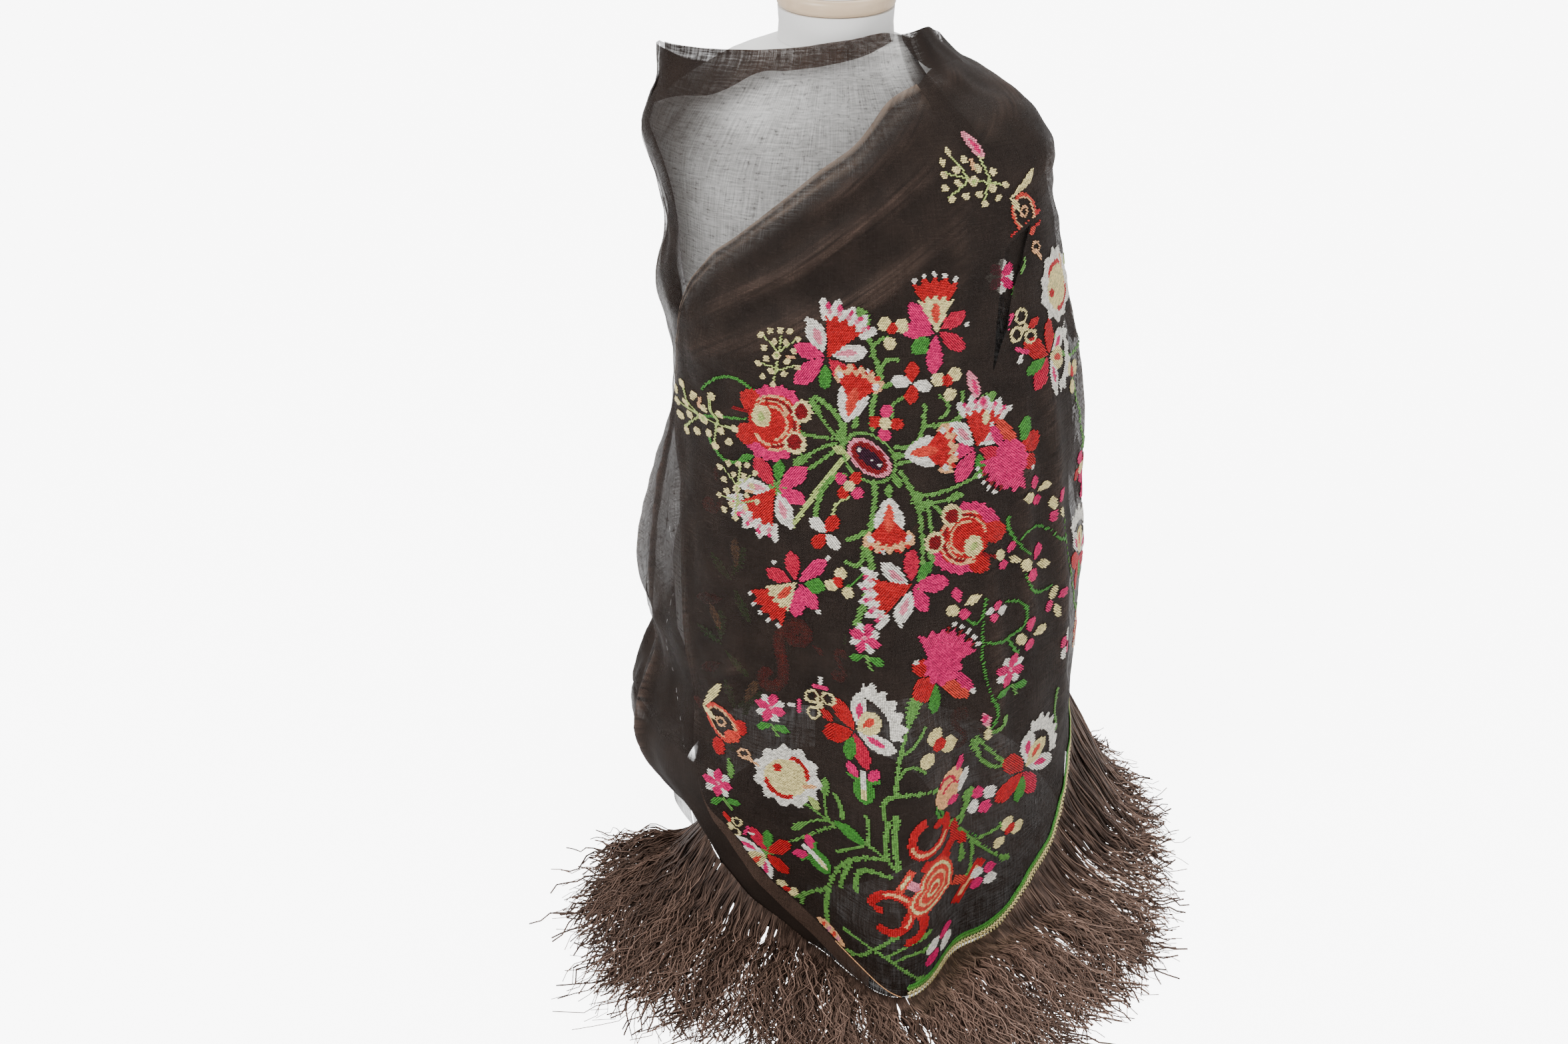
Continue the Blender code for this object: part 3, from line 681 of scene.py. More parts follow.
# Where a layer's threads lie closer or further apart than elsewhere, in degrees and metres, and how
# much more of the light they stop there
Patch = namedtuple("Patch", "angle height angle_reach height_reach more")
PATCHES = {
    "outer": (
        Patch(16.0, 0.7, 15.0, 0.03, -0.13),
        Patch(-8.0, 0.655, 12.0, 0.018, -0.07),
        Patch(-16.0, 0.35, 20.0, 0.085, -0.12),
        Patch(53.0, 0.3, 2.6, 0.04, -0.22),
        Patch(47.5, 0.866, 4.5, 0.014, -0.42),
        Patch(71.0, 0.88, 12.0, 0.03, 0.26),
        Patch(82.0, 0.83, 34.0, 0.07, 0.14),
        Patch(125.0, 0.78, 28.0, 0.1, 0.12),
    ),
    "inner": (
        Patch(53.5, 0.3, 2.6, 0.04, -0.4),
        Patch(38.0, 0.868, 7.0, 0.018, -0.16),
        Patch(48.0, 0.866, 6.0, 0.016, -0.55),
        Patch(-100.0, 0.82, 15.0, 0.09, 0.16),
        Patch(-100.0, 0.64, 13.0, 0.09, 0.14),
        Patch(-72.0, 0.89, 16.0, 0.012, 0.3),
        Patch(-44.0, 0.828, 9.0, 0.016, -0.16),
        Patch(51.5, 0.64, 4.0, 0.05, -0.55),
        Patch(-28.0, 0.838, 12.0, 0.02, -0.1),
        Patch(-57.0, 0.222, 5.0, 0.03, -0.26),
        Patch(-76.0, 0.42, 9.0, 0.05, 0.16),
        Patch(-66.0, 0.33, 4.0, 0.06, 0.14),
        Patch(-80.0, 0.265, 5.0, 0.03, -0.16),
        Patch(-43.0, 0.155, 9.0, 0.05, 0.3),
        Patch(-62.0, 0.12, 14.0, 0.075, 0.42),
        Patch(-30.0, 0.03, 30.0, 0.05, 0.08),
    ),
}
OPEN_MIDDLE = -5.0
OPEN_REACH = 44.0
OPEN_REACH_LESS = 18.0  # lower down
OPEN_HEIGHT = 0.63
CLOSE_SOFT = 12.0
LOW_CLOTH = 0.215
BEHIND_MIDDLE = 192.0
BEHIND_REACH = 80.0
BEHIND_SOFT = 20.0
CLOSE_SIDE = 0.42
CLOSE_UNDER = 0.60
CLOSE_BEHIND = 0.13
CLOSE_HEM = 0.09
# painted shade: extra cover in a crease's trough, for each metre of its depth
FOLD_SHADE = 60.0


def closeness_and_painted_fold_shade(stretch, angle, height):
    """How much more of the light a stretch's threads stop than its gauze does elsewhere, with painted shade
    in the troughs of its creases.
    """
    more = np.zeros(angle.shape)
    if stretch.gauze == "single":
        open_reach = OPEN_REACH - OPEN_REACH_LESS * smooth_step((OPEN_HEIGHT - height) / 0.06)
        past = np.clip(np.abs(turned(angle, OPEN_MIDDLE)) - open_reach, 0.0, None)
        more = CLOSE_SIDE * (1.0 - bump(past, CLOSE_SOFT))
        behind = smooth_step((BEHIND_REACH - np.abs(turned(angle, BEHIND_MIDDLE))) / BEHIND_SOFT)
        more = more + behind * (CLOSE_BEHIND + CLOSE_HEM * smooth_step((0.30 - height) / 0.10))
        behind_panel, behind_side = (
            (turned(angle, over.start) >= 0) & (turned(angle, over.end) < 0)
            for over in (STRETCHES["front_panel"], STRETCHES["side_fold"])
        )
        under = smooth_step((edge_height("diagonal", angle) - 0.010 - height) / 0.020)
        under = under * smooth_step((height - edge_height("panel_low", angle) + 0.030) / 0.030)
        low = smooth_step((LOW_CLOTH - height) / 0.050)
        more = np.where(behind_panel, np.maximum(more, CLOSE_UNDER * np.maximum(under, low)), more)
        under = np.maximum(
            smooth_step((edge_height("slit_back", angle) + 0.004 - height) / 0.020),
            smooth_step((height - edge_height("slit_front", angle) + 0.004) / 0.020),
        )
        more = np.where(behind_side, np.maximum(more, CLOSE_UNDER * under), more)
        # painted shade: the troughs of the single gauze's creases stop more of the light
        more = more + FOLD_SHADE * np.clip(-crease_out(stretch.creases, angle, height) - 0.001, 0.0, 0.005)
    for patch in PATCHES[stretch.creases]:
        beside = bump(turned(angle, patch.angle), patch.angle_reach)
        more = more + patch.more * beside * bump(height - patch.height, patch.height_reach)
    return more


SELVAGE_PALE = 0.60
SELVAGE_WIDE = 0.0035
SECOND_PALE = 0.22  # the fainter line beside the selvage
SECOND_BELOW = 0.0105


def make_stretch(name):
    """One stretch of the shawl, as a thin sheet with its weave laid out in metres."""
    stretch = STRETCHES[name]
    angles = np.linspace(stretch.start, stretch.end, stretch.columns)
    share = np.linspace(0.0, 1.0, stretch.rows)
    low, high = edge_height(stretch.low_edge, angles), edge_height(stretch.high_edge, angles)
    angle = np.repeat(angles[:, None], stretch.rows, axis=1)
    height = low[:, None] + (high - low)[:, None] * share
    points = on_cloth(name, angle, height).reshape(-1, 3)
    faces = grid_faces(stretch.columns, stretch.rows)
    piece = mesh_object("cloth_" + name, points, faces, GAUZE[stretch.gauze])
    mesh = piece.data
    across = np.radians(angle.ravel()) * USUAL_RADIUS
    flat = np.stack([across, height.ravel()], -1)
    corners = np.zeros(len(mesh.loops), np.int32)
    mesh.loops.foreach_get("vertex_index", corners)
    mesh.uv_layers.new(name="cloth").data.foreach_set("uv", flat[corners].ravel())
    below_top = (high[:, None] - height).ravel()
    pale = np.zeros(len(points))
    if name == "front_panel":
        selvage = SELVAGE_PALE * np.clip(1.0 - below_top / SELVAGE_WIDE, 0.0, 1.0)
        pale = selvage + SECOND_PALE * bump(below_top - SECOND_BELOW, 0.0018)
    # painted sheen on the ridges of the creases, stronger the further they stand out
    ridge = np.clip(crease_out(stretch.creases, angle, height).ravel() / RIDGE_HIGH, 0.0, 1.0) ** 2
    # thread closeness, with painted shade in the troughs of the creases
    extra_cover_with_fold_shade = closeness_and_painted_fold_shade(stretch, angle, height).ravel()
    for attribute, values in (("selvage", pale), ("ridge", ridge), ("extra_cover_with_fold_shade", extra_cover_with_fold_shade)):
        set_points(mesh, attribute, values)
    return finish_piece(piece, stretch.slot, name)


def loft_faces(count, sides):
    """The faces of a loft through rings of as many points, closed at both ends."""
    faces = []
    for k in range(count - 1):
        for i in range(sides):
            j = (i + 1) % sides
            faces.append((k * sides + i, k * sides + j, (k + 1) * sides + j, (k + 1) * sides + i))
    faces.append(tuple(range(sides))[::-1])
    faces.append(tuple(range((count - 1) * sides, count * sides)))
    return faces


def turned_piece(name, profile, material, slot, node, sides=96):
    """A solid of revolution on the form's axis, from (radius, height) pairs, lowest first."""
    turn = 2 * pi * np.arange(sides) / sides
    rings = [np.stack([r * np.sin(turn), -r * np.cos(turn), np.full(sides, z)], -1) for r, z in profile]
    piece = mesh_object(name, np.concatenate(rings), loft_faces(len(rings), sides), material)
    piece.data.set_sharp_from_angle(angle=pi / 5)
    return finish_piece(piece, slot, node)


# ---------------------------------------------------------------- the flowers, as counted work

def paint(red, green, blue):
    """A colour as the eye names it, made linear for the shaders."""
    return tuple(((value + 0.055) / 1.055) ** 2.4 for value in (red, green, blue))


FLOSS_COLOURS = {
    "hot_pink": paint(0.90, 0.05, 0.42),
    "rose_red": paint(0.82, 0.04, 0.24),
    "red": paint(0.78, 0.06, 0.10),
    "coral": paint(0.90, 0.26, 0.20),
    "dark_red": paint(0.52, 0.03, 0.08),
    "peach": paint(0.97, 0.72, 0.50),
    "cream": paint(0.97, 0.90, 0.62),
    "white": paint(0.99, 0.97, 0.92),
    "pale_pink": paint(0.97, 0.56, 0.64),
    "leaf_green": paint(0.26, 0.56, 0.20),
    "stem_green": paint(0.40, 0.62, 0.28),
    "pale_green": paint(0.74, 0.82, 0.46),
    "plum": paint(0.20, 0.04, 0.14),
}
COLOUR_NAMES = tuple(FLOSS_COLOURS)

# Each motif is painted in this order, one row for each shape and colour. The row then gives every
# such mark by its x and y from the motif's middle in millimetres, its turn, its length and its width
Mark = namedtuple("Mark", "shape colour x y turn long wide")
MOTIF_ROWS = {
    "frilled_lily": (
        ("petal", "hot_pink", (-3, -2, 166, 29, 15), (-3, -4, 226, 35, 18)),
        ("petal", "rose_red", (3, -4, 318, 32, 16)),
        ("petal", "leaf_green", (0, -9, 272, 22, 12)),
        ("petal", "white", (-3, 2, 118, 34, 18)),
        ("petal", "pale_pink", (-5, 7, 118, 20, 7)),
        ("petal", "white", (4, 0, 10, 35, 16)),
        ("petal", "pale_pink", (9, 1, 10, 20, 6)),
        ("frill", "white", (1, -2, 66, 50, 76)),
        ("fan", "red", (1, -3, 68, 38, 58)),
        ("beads", "pale_pink", (1, -2, 66, 42, 64)),
        ("beads", "hot_pink", (1, -2, 66, 47, 70)),
        ("disc", "white", (-21, 31, 0, 5, 5)),
    ),
    "crowned_lily": (
        ("petal", "hot_pink", (-2, -4, 168, 32, 15), (-4, -1, 128, 32, 16), (0, -6, 262, 36, 15)),
        ("petal", "rose_red", (4, -4, 322, 28, 15), (5, 0, 26, 27, 14)),
        ("petal", "leaf_green", (-6, -8, 214, 21, 16)),
        ("fan", "red", (1, 2, 88, 42, 62)),
        ("fan", "cream", (1, -4, 88, 32, 60)),
        ("petal", "coral", (1, 3, 88, 20, 8)),
        ("beads", "white", (1, 2, 88, 46, 66)),
        ("disc", "white", (-36, 3, 0, 5, 5), (-5, -44, 0, 5, 5), (30, 0, 0, 5, 5)),
    ),
    "red_lily": (
        ("petal", "red", (0, -2, 128, 33, 17), (-1, -4, 204, 32, 19)),
        ("petal", "rose_red", (0, -5, 292, 34, 15)),
        ("petal", "leaf_green", (-1, -8, 258, 26, 12)),
        ("frill", "white", (4, 0, 36, 46, 96)),
        ("petal", "white", (4, 2, 86, 34, 16)),
        ("petal", "hot_pink", (5, 9, 86, 17, 6)),
        ("petal", "white", (4, -2, 336, 40, 16)),
        ("petal", "hot_pink", (12, -5, 336, 19, 6)),
        ("petal", "cream", (3, -1, 34, 28, 22)),
        ("petal", "coral", (9, 3, 40, 15, 7)),
    ),
    "rose": (
        ("scallop", "hot_pink", (2, 20, 0, 44, 28), (-2, -18, 0, 46, 32)),
        ("petal", "red", (-8, 12, 158, 26, 20), (-8, -10, 192, 28, 20)),
        ("disc", "red", (2, 1, 0, 48, 50)),
        ("arc", "peach", (0, 0, 20, 24, 230), (-2, 2, 82, 18, 120), (0, -2, 286, 18, 150)),
        ("arc", "dark_red", (0, 0, 10, 21, 200)),
        ("arc", "peach", (-1, 0, 10, 15, 180)),
        ("scallop", "cream", (27, 13, 0, 19, 20)),
        ("disc", "dark_red", (26, 13, 0, 12, 13)),
        ("scallop", "cream", (22, -15, 0, 20, 20)),
        ("disc", "dark_red", (21, -14, 0, 13, 13)),
        ("disc", "cream", (-10, 5, 0, 18, 20)),
        ("disc", "pale_green", (-10, 5, 0, 6, 8)),
        ("bar", "dark_red", (-30, 8, 2, 18, 3)),
    ),
    "cream_rose": (
        ("scallop", "white", (0, 0, 0, 64, 62)),
        ("disc", "cream", (-2, -2, 0, 42, 40)),
        ("arc", "red", (0, 0, 40, 19, 90), (0, 0, 40, 21, 80), (-2, -3, 240, 18, 110),
            (-2, -3, 240, 20, 100)),
        ("disc", "red", (-10, 8, 0, 8, 9)),
        ("bar", "peach", (22, -6, 20, 14, 4)),
        ("petal", "pale_green", (20, -16, 320, 15, 9)),
    ),
    "bell": (
        ("petal", "white", (0, -24, 90, 40, 28)),
        ("fan", "red", (0, -8, 90, 34, 84)),
        ("frill", "peach", (0, -12, 90, 37, 86)),
        ("fan", "red", (0, -8, 90, 27, 84)),
        ("petal", "coral", (0, -18, 90, 26, 10)),
        ("disc", "white", (-17, 14, 0, 6, 6), (17, 14, 0, 7, 6), (6, 25, 0, 4, 4)),
        ("petal", "stem_green", (0, -22, 270, 13, 7)),
    ),
    "berries": (
        ("disc", "cream", (-1, 10, 0, 13, 13), (-9, -6, 0, 12, 12), (10, -2, 0, 13, 13)),
        ("disc", "red", (2, 2, 0, 11, 10)),
    ),
    "pink_white": (
        ("disc", "white", (-7, 7, 0, 14, 12)),
        ("disc", "hot_pink", (7, 6, 0, 13, 12), (-7, -6, 0, 13, 13)),
        ("disc", "white", (8, -7, 0, 14, 13)),
    ),
    "red_white": (
        ("petal", "white", (0, 1, 152, 19, 12)),
        ("petal", "red", (0, 1, 66, 18, 13), (0, -1, 238, 17, 13)),
        ("petal", "white", (0, -1, 328, 18, 11)),
    ),
    "pink_cream": (
        ("disc", "red", (-10, 1, 0, 14, 12), (11, 0, 0, 14, 12)),
        ("disc", "hot_pink", (0, 12, 0, 12, 13), (0, -11, 0, 13, 13)),
        ("disc", "cream", (0, 0, 0, 12, 12)),
    ),
    "cream_pink": (
        ("disc", "cream", (-7, 7, 0, 10, 13)),
        ("petal", "hot_pink", (2, 4, 42, 15, 10)),
        ("disc", "hot_pink", (-6, -6, 0, 10, 11)),
        ("petal", "cream", (2, -2, 318, 17, 9)),
    ),
    "rosette": (
        ("petal", "white", (0, 0, 22, 15, 9), (0, 0, 112, 15, 9), (0, 0, 202, 15, 9), (0, 0, 292, 15, 9)),
        ("petal", "hot_pink", (0, 0, 67, 15, 9), (0, 0, 157, 15, 9), (0, 0, 247, 15, 9), (0, 0, 337, 15, 9)),
        ("disc", "pale_pink", (0, 0, 0, 4, 4)),
        ("petal", "leaf_green", (0, -16, 196, 15, 7), (1, -17, 340, 17, 8)),
        ("bar", "stem_green", (3, -22, 290, 14, 3)),
    ),
    "cross_flower": (
        ("ring", "cream", (-8, 7, 0, 12, 11), (8, 8, 0, 12, 11), (-6, -9, 0, 11, 11)),
        ("petal", "red", (0, -2, 316, 16, 8)),
        ("disc", "cream", (0, 0, 0, 7, 7)),
        ("bar", "hot_pink", (0, 18, 0, 15, 4)),
        ("bar", "white", (0, 23, 90, 8, 4)),
        ("bar", "hot_pink", (-20, -4, 90, 15, 4)),
        ("bar", "white", (-27, -4, 0, 7, 4)),
    ),
    "dotted_sprig": (
        ("bar", "pale_green", (0, -2, 82, 52, 1.8), (-7, 12, 132, 26, 1.6), (8, 10, 38, 26, 1.6),
            (-9, -9, 168, 20, 1.6), (9, -10, 18, 20, 1.6)),
        ("disc", "cream", (2, 25, 0, 6, 6), (-8, 24, 0, 6, 6), (11, 25, 0, 6, 6), (-17, 19, 0, 6, 6),
            (-3, 14, 0, 6, 6), (7, 14, 0, 6, 6), (19, 18, 0, 6, 6), (-13, 8, 0, 6, 6), (15, 6, 0, 6, 6),
            (-1, 1, 0, 8, 8), (-11, -3, 0, 6, 6), (9, -4, 0, 6, 6), (-19, -8, 0, 6, 6), (19, -9, 0, 6, 6),
            (-6, -14, 0, 6, 6), (7, -16, 0, 6, 6), (-14, -20, 0, 6, 6), (-3, -26, 0, 6, 6)),
        ("disc", "pale_green", (-1, 1, 0, 4, 4)),
        ("bar", "peach", (12, 0, 0, 8, 3)),
    ),
    "thistle": (
        ("beads", "white", (0, 0, 42, 40, 60)),
        ("spikes", "dark_red", (0, 0, 42, 37, 62)),
        ("petal", "red", (-5, -2, 148, 24, 15), (-6, -8, 206, 24, 22)),
        ("petal", "coral", (-2, -10, 316, 38, 15)),
        ("petal", "leaf_green", (-6, -14, 262, 26, 13)),
        ("fan", "hot_pink", (-4, -6, 62, 40, 92)),
        ("scallop", "hot_pink", (4, 4, 0, 36, 42)),
        ("petal", "hot_pink", (12, -6, 306, 32, 10)),
        ("disc", "white", (30, -32, 0, 5, 5), (-22, 12, 0, 5, 5)),
    ),
    "open_work": (
        ("disc", "red", (13, 5, 0, 12, 16), (-8, -20, 0, 12, 16)),
        ("ring", "peach", (-6, 4, 315, 32, 22)),
        ("ring", "coral", (-5, 4, 315, 36, 26)),
        ("disc", "coral", (5, -6, 0, 15, 12)),
        ("ring", "peach", (-7, 5, 0, 8, 8), (17, -20, 0, 10, 9)),
        ("bar", "peach", (24, -25, 335, 16, 3)),
        ("petal", "cream", (-26, 10, 62, 40, 7), (-26, 12, 330, 16, 6)),
        ("petal", "stem_green", (2, -28, 280, 20, 7)),
    ),
    "bud": (
        ("petal", "hot_pink", (-4, 6, 128, 18, 10), (4, 6, 52, 18, 10)),
        ("disc", "leaf_green", (0, -2, 0, 20, 25)),
        ("bar", "leaf_green", (-11, 8, 160, 10, 3), (11, 8, 20, 10, 3)),
        ("bar", "white", (0, 4, 90, 26, 6)),
        ("bar", "cream", (0, -6, 90, 10, 4)),
    ),
    "striped_bud": (
        ("disc", "peach", (0, 0, 0, 32, 19)),
        ("bar", "coral", (-8, 0, 80, 13, 3)),
        ("bar", "pale_pink", (-2, 0, 80, 14, 3)),
        ("bar", "coral", (4, 0, 80, 14, 3)),
        ("bar", "pale_pink", (9, 1, 80, 10, 3)),
        ("petal", "hot_pink", (14, -7, 322, 11, 6)),
        ("bar", "white", (8, -10, 322, 14, 4)),
    ),
    "folded_bud": (
        ("disc", "peach", (0, 0, 60, 38, 25)),
        ("arc", "rose_red", (-2, 3, 90, 8, 170), (2, -6, 90, 9, 150)),
        ("petal", "hot_pink", (8, 12, 60, 15, 7)),
        ("disc", "hot_pink", (3, -15, 0, 11, 8)),
        ("petal", "white", (9, -12, 66, 26, 8)),
    ),
    "pink_bud": (
        ("disc", "pale_pink", (0, 0, 104, 26, 10)),
        ("disc", "hot_pink", (1, -2, 104, 15, 4)),
    ),
    "small_bud": (
        ("petal", "pale_pink", (0, 0, 100, 16, 9)),
        ("petal", "cream", (0, 2, 270, 16, 8)),
        ("disc", "hot_pink", (-2, 10, 0, 6, 7)),
    ),
    "wreath": (
        ("ring", "stem_green", (0, 0, 322, 52, 38)),
        ("disc", "dark_red", (0, 0, 322, 42, 24)),
        ("ring", "pale_pink", (0, 0, 322, 42, 24)),
        ("disc", "plum", (0, 0, 322, 30, 12)),
        ("disc", "white", (-9, 7, 0, 4, 4), (2, -2, 0, 3, 3), (9, -7, 0, 4, 4)),
        ("petal", "stem_green", (-22, 10, 120, 16, 8), (20, -14, 300, 16, 8)),
        ("petal", "pale_green", (-20, 4, 160, 14, 9)),
    ),
    "urn": (
        ("curl", "red", (-3, 60, 250, 17, 300)),
        ("hook", "red", (4, 46, 305, 19, 170), (22, 27, 110, 10, 250)),
        ("curl", "peach", (-3, 60, 262, 17, 150)),
        ("curl", "red", (-44, -9, 20, 21, 300)),
        ("hook", "red", (-26, -27, 330, 15, 150), (-20, -20, 80, 9, 250)),
        ("curl", "peach", (-44, -9, 30, 21, 160)),
        ("bar", "pale_pink", (-20, 17, 322, 18, 9)),
        ("bar", "coral", (-29, 24, 52, 26, 9)),
        ("bar", "cream", (-29, 24, 52, 15, 4)),
        ("bar", "coral", (28, -18, 322, 16, 9)),
        ("bar", "red", (38, -25, 52, 46, 12)),
        ("bar", "peach", (38, -25, 52, 32, 5)),
        ("heart", "coral", (1, 0, 142, 50, 52)),
        ("heart", "cream", (1, 0, 142, 44, 46)),
        ("heart", "coral", (1, 0, 142, 38, 40)),
        ("heart", "peach", (1, 0, 142, 29, 31)),
        ("heart", "coral", (1, 0, 142, 24, 25)),
        ("heart", "cream", (1, 0, 142, 14, 15)),
        ("heart", "coral", (1, 0, 142, 9, 9)),
    ),
    "inner_scroll": (
        ("scroll", "red", (0, 0, 285, 150, 11)),
        ("scroll", "coral", (0, 0, 285, 90, 4)),
        ("petal", "red", (30, -20, 300, 34, 12)),
        ("petal", "leaf_green", (-28, -36, 250, 30, 8)),
    ),
    "inner_sprig": (
        ("leaf", "leaf_green", (0, 0, 70, 34, 12), (0, -4, 140, 30, 10), (2, -10, 300, 36, 10)),
        ("petal", "peach", (4, 10, 96, 28, 9)),
        ("petal", "dark_red", (-8, -24, 200, 26, 11)),
    ),
}
MOTIFS = {
    name: [Mark(shape, colour, *row) for shape, colour, *rows in groups for row in rows]
    for name, groups in MOTIF_ROWS.items()
}

# Where the flowers are, by their middles, how far each is turned, its size, and how much wider
# it is worked than it is drawn
Place = namedtuple("Place", "motif angle height turn size widen", defaults=(1.0,))


def placed(groups):
    """The places of every motif, from a row for each one with its angle, height, turn and size."""
    return [Place(motif, *row) for motif, *rows in groups for row in rows]


PLACES = placed((
    ("wreath", (11.2, 0.533, 0, 1.0)),
    ("urn", (21.3, 0.108, 0, 0.9, 1.05)),
    ("crowned_lily", (32.2, 0.648, 0, 0.95)),
    ("frilled_lily", (-1.7, 0.628, -4, 0.95), (-15.9, 0.497, 172, 0.92)),
    ("crowned_lily", (-9.4, 0.407, 138, 0.92)),
    ("frilled_lily", (20.5, 0.408, 128, 0.92), (41.5, 0.533, 10, 0.88)),
    ("red_lily", (66.5, 0.6, -60, 0.95), (6.9, 0.274, 0, 0.95), (-16.0, 0.103, 190, 0.85),
        (51.0, 0.18, 0, 0.98)),
    ("rose", (-17.9, 0.561, 0, 1.0), (37.3, 0.445, 152, 1.0)),
    ("cream_rose", (-10.5, 0.201, 0, 1.0), (75.5, 0.655, 60, 1.0)),
    ("bell", (6.7, 0.59, -18, 1.0), (28.3, 0.535, -88, 1.0), (16.0, 0.47, 178, 1.0)),
    ("folded_bud", (27.0, 0.2, 0, 0.95)),
    ("pink_cream", (15.9, 0.565, -6, 0.9), (5.7, 0.506, 52, 0.85)),
    ("red_white", (24.3, 0.6, 20, 1.0), (-0.9, 0.46, -10, 1.0)),
    ("pink_white", (37.5, 0.169, 70, 0.95), (37.7, 0.081, 0, 0.95), (22.6, 0.04, 0, 1.0)),
    ("berries", (19.1, 0.648, 40, 0.95), (34.6, 0.597, 60, 0.95), (3.5, 0.412, 100, 0.9),
        (24.0, 0.246, 0, 1.15), (45.1, 0.118, 0, 1.0), (-11.0, 0.062, 20, 0.8)),
    ("dotted_sprig", (-17.1, 0.624, 0, 0.95), (-43.5, 0.546, 100, 1.15), (-28.0, 0.489, 8, 0.95),
        (49.8, 0.773, 80, 1.08)),
    ("pink_bud", (53.5, 0.8, 0, 1.0)),
    ("thistle", (52.0, 0.515, 168, 0.9), (27.6, 0.322, 0, 1.0)),
    ("rosette", (9.5, 0.362, 0, 1.0), (-15.6, 0.274, 6, 1.0), (47.6, 0.297, 0, 1.0), (-30.3, 0.176, 20, 1.0)),
    ("cross_flower", (-1.4, 0.286, 0, 1.0), (-27.0, 0.13, 160, 0.8), (59.5, 0.632, 60, 1.0)),
    ("open_work", (-27.7, 0.239, 0, 1.0), (65.3, 0.728, 330, 1.0)),
    ("bud", (8.6, 0.218, 0, 1.0), (-1.6, 0.116, 62, 1.0)),
    ("striped_bud", (1.8, 0.04, -12, 0.9)),
    ("small_bud", (44.6, 0.565, 0, 0.9), (40.0, 0.245, 0, 1.0)),
    ("pink_bud", (41.8, 0.592, 0, 1.0)),
    ("cream_pink", (65.8, 0.443, 0, 1.0), (56.8, 0.396, 20, 1.0)),
    ("pink_white", (43.7, 0.365, 30, 0.6)),
    ("cream_pink", (35.0, 0.378, 60, 1.0), (64.2, 0.344, 330, 1.0), (54.4, 0.323, 40, 1.0)),
    ("pink_white", (68.9, 0.285, 100, 0.9)),
    ("cream_pink", (58.5, 0.47, 50, 0.9), (48.5, 0.415, 10, 0.8)),
    ("cream_rose", (96.0, 0.6, 20, 1.0)),
    ("frilled_lily", (92.0, 0.43, -30, 0.95)),
    ("red_lily", (80.0, 0.36, 40, 0.95)),
    ("rose", (112.0, 0.5, 80, 1.0)),
    ("pink_cream", (84.0, 0.45, 20, 1.0)),
    ("berries", (78.0, 0.56, 30, 1.0)),
    ("dotted_sprig", (100.0, 0.52, 0, 1.0)),
    ("pink_white", (96.0, 0.33, 40, 1.0)),
    ("bell", (84.0, 0.26, 40, 0.9)),
    ("rosette", (128.0, 0.44, 0, 1.0)),
    ("cross_flower", (122.0, 0.3, 20, 1.0)),
    ("urn", (128.0, 0.29, 20, 0.7)),
))
INNER_PLACES = placed((
    ("rosette", (54.3, 0.684, 60, 1.0)),
    ("inner_scroll", (-13.1, 0.324, 0, 1.0)),
    ("inner_sprig", (-29.1, 0.4, 0, 1.0), (-32.0, 0.33, 20, 0.9), (-26.0, 0.262, 330, 1.0)),
    ("inner_scroll", (-35.0, 0.47, 150, 0.45), (3.0, 0.33, 200, 0.4)),
    ("inner_sprig", (30.0, 0.47, 120, 0.8)),
    ("inner_scroll", (33.0, 0.25, 20, 0.5)),
))

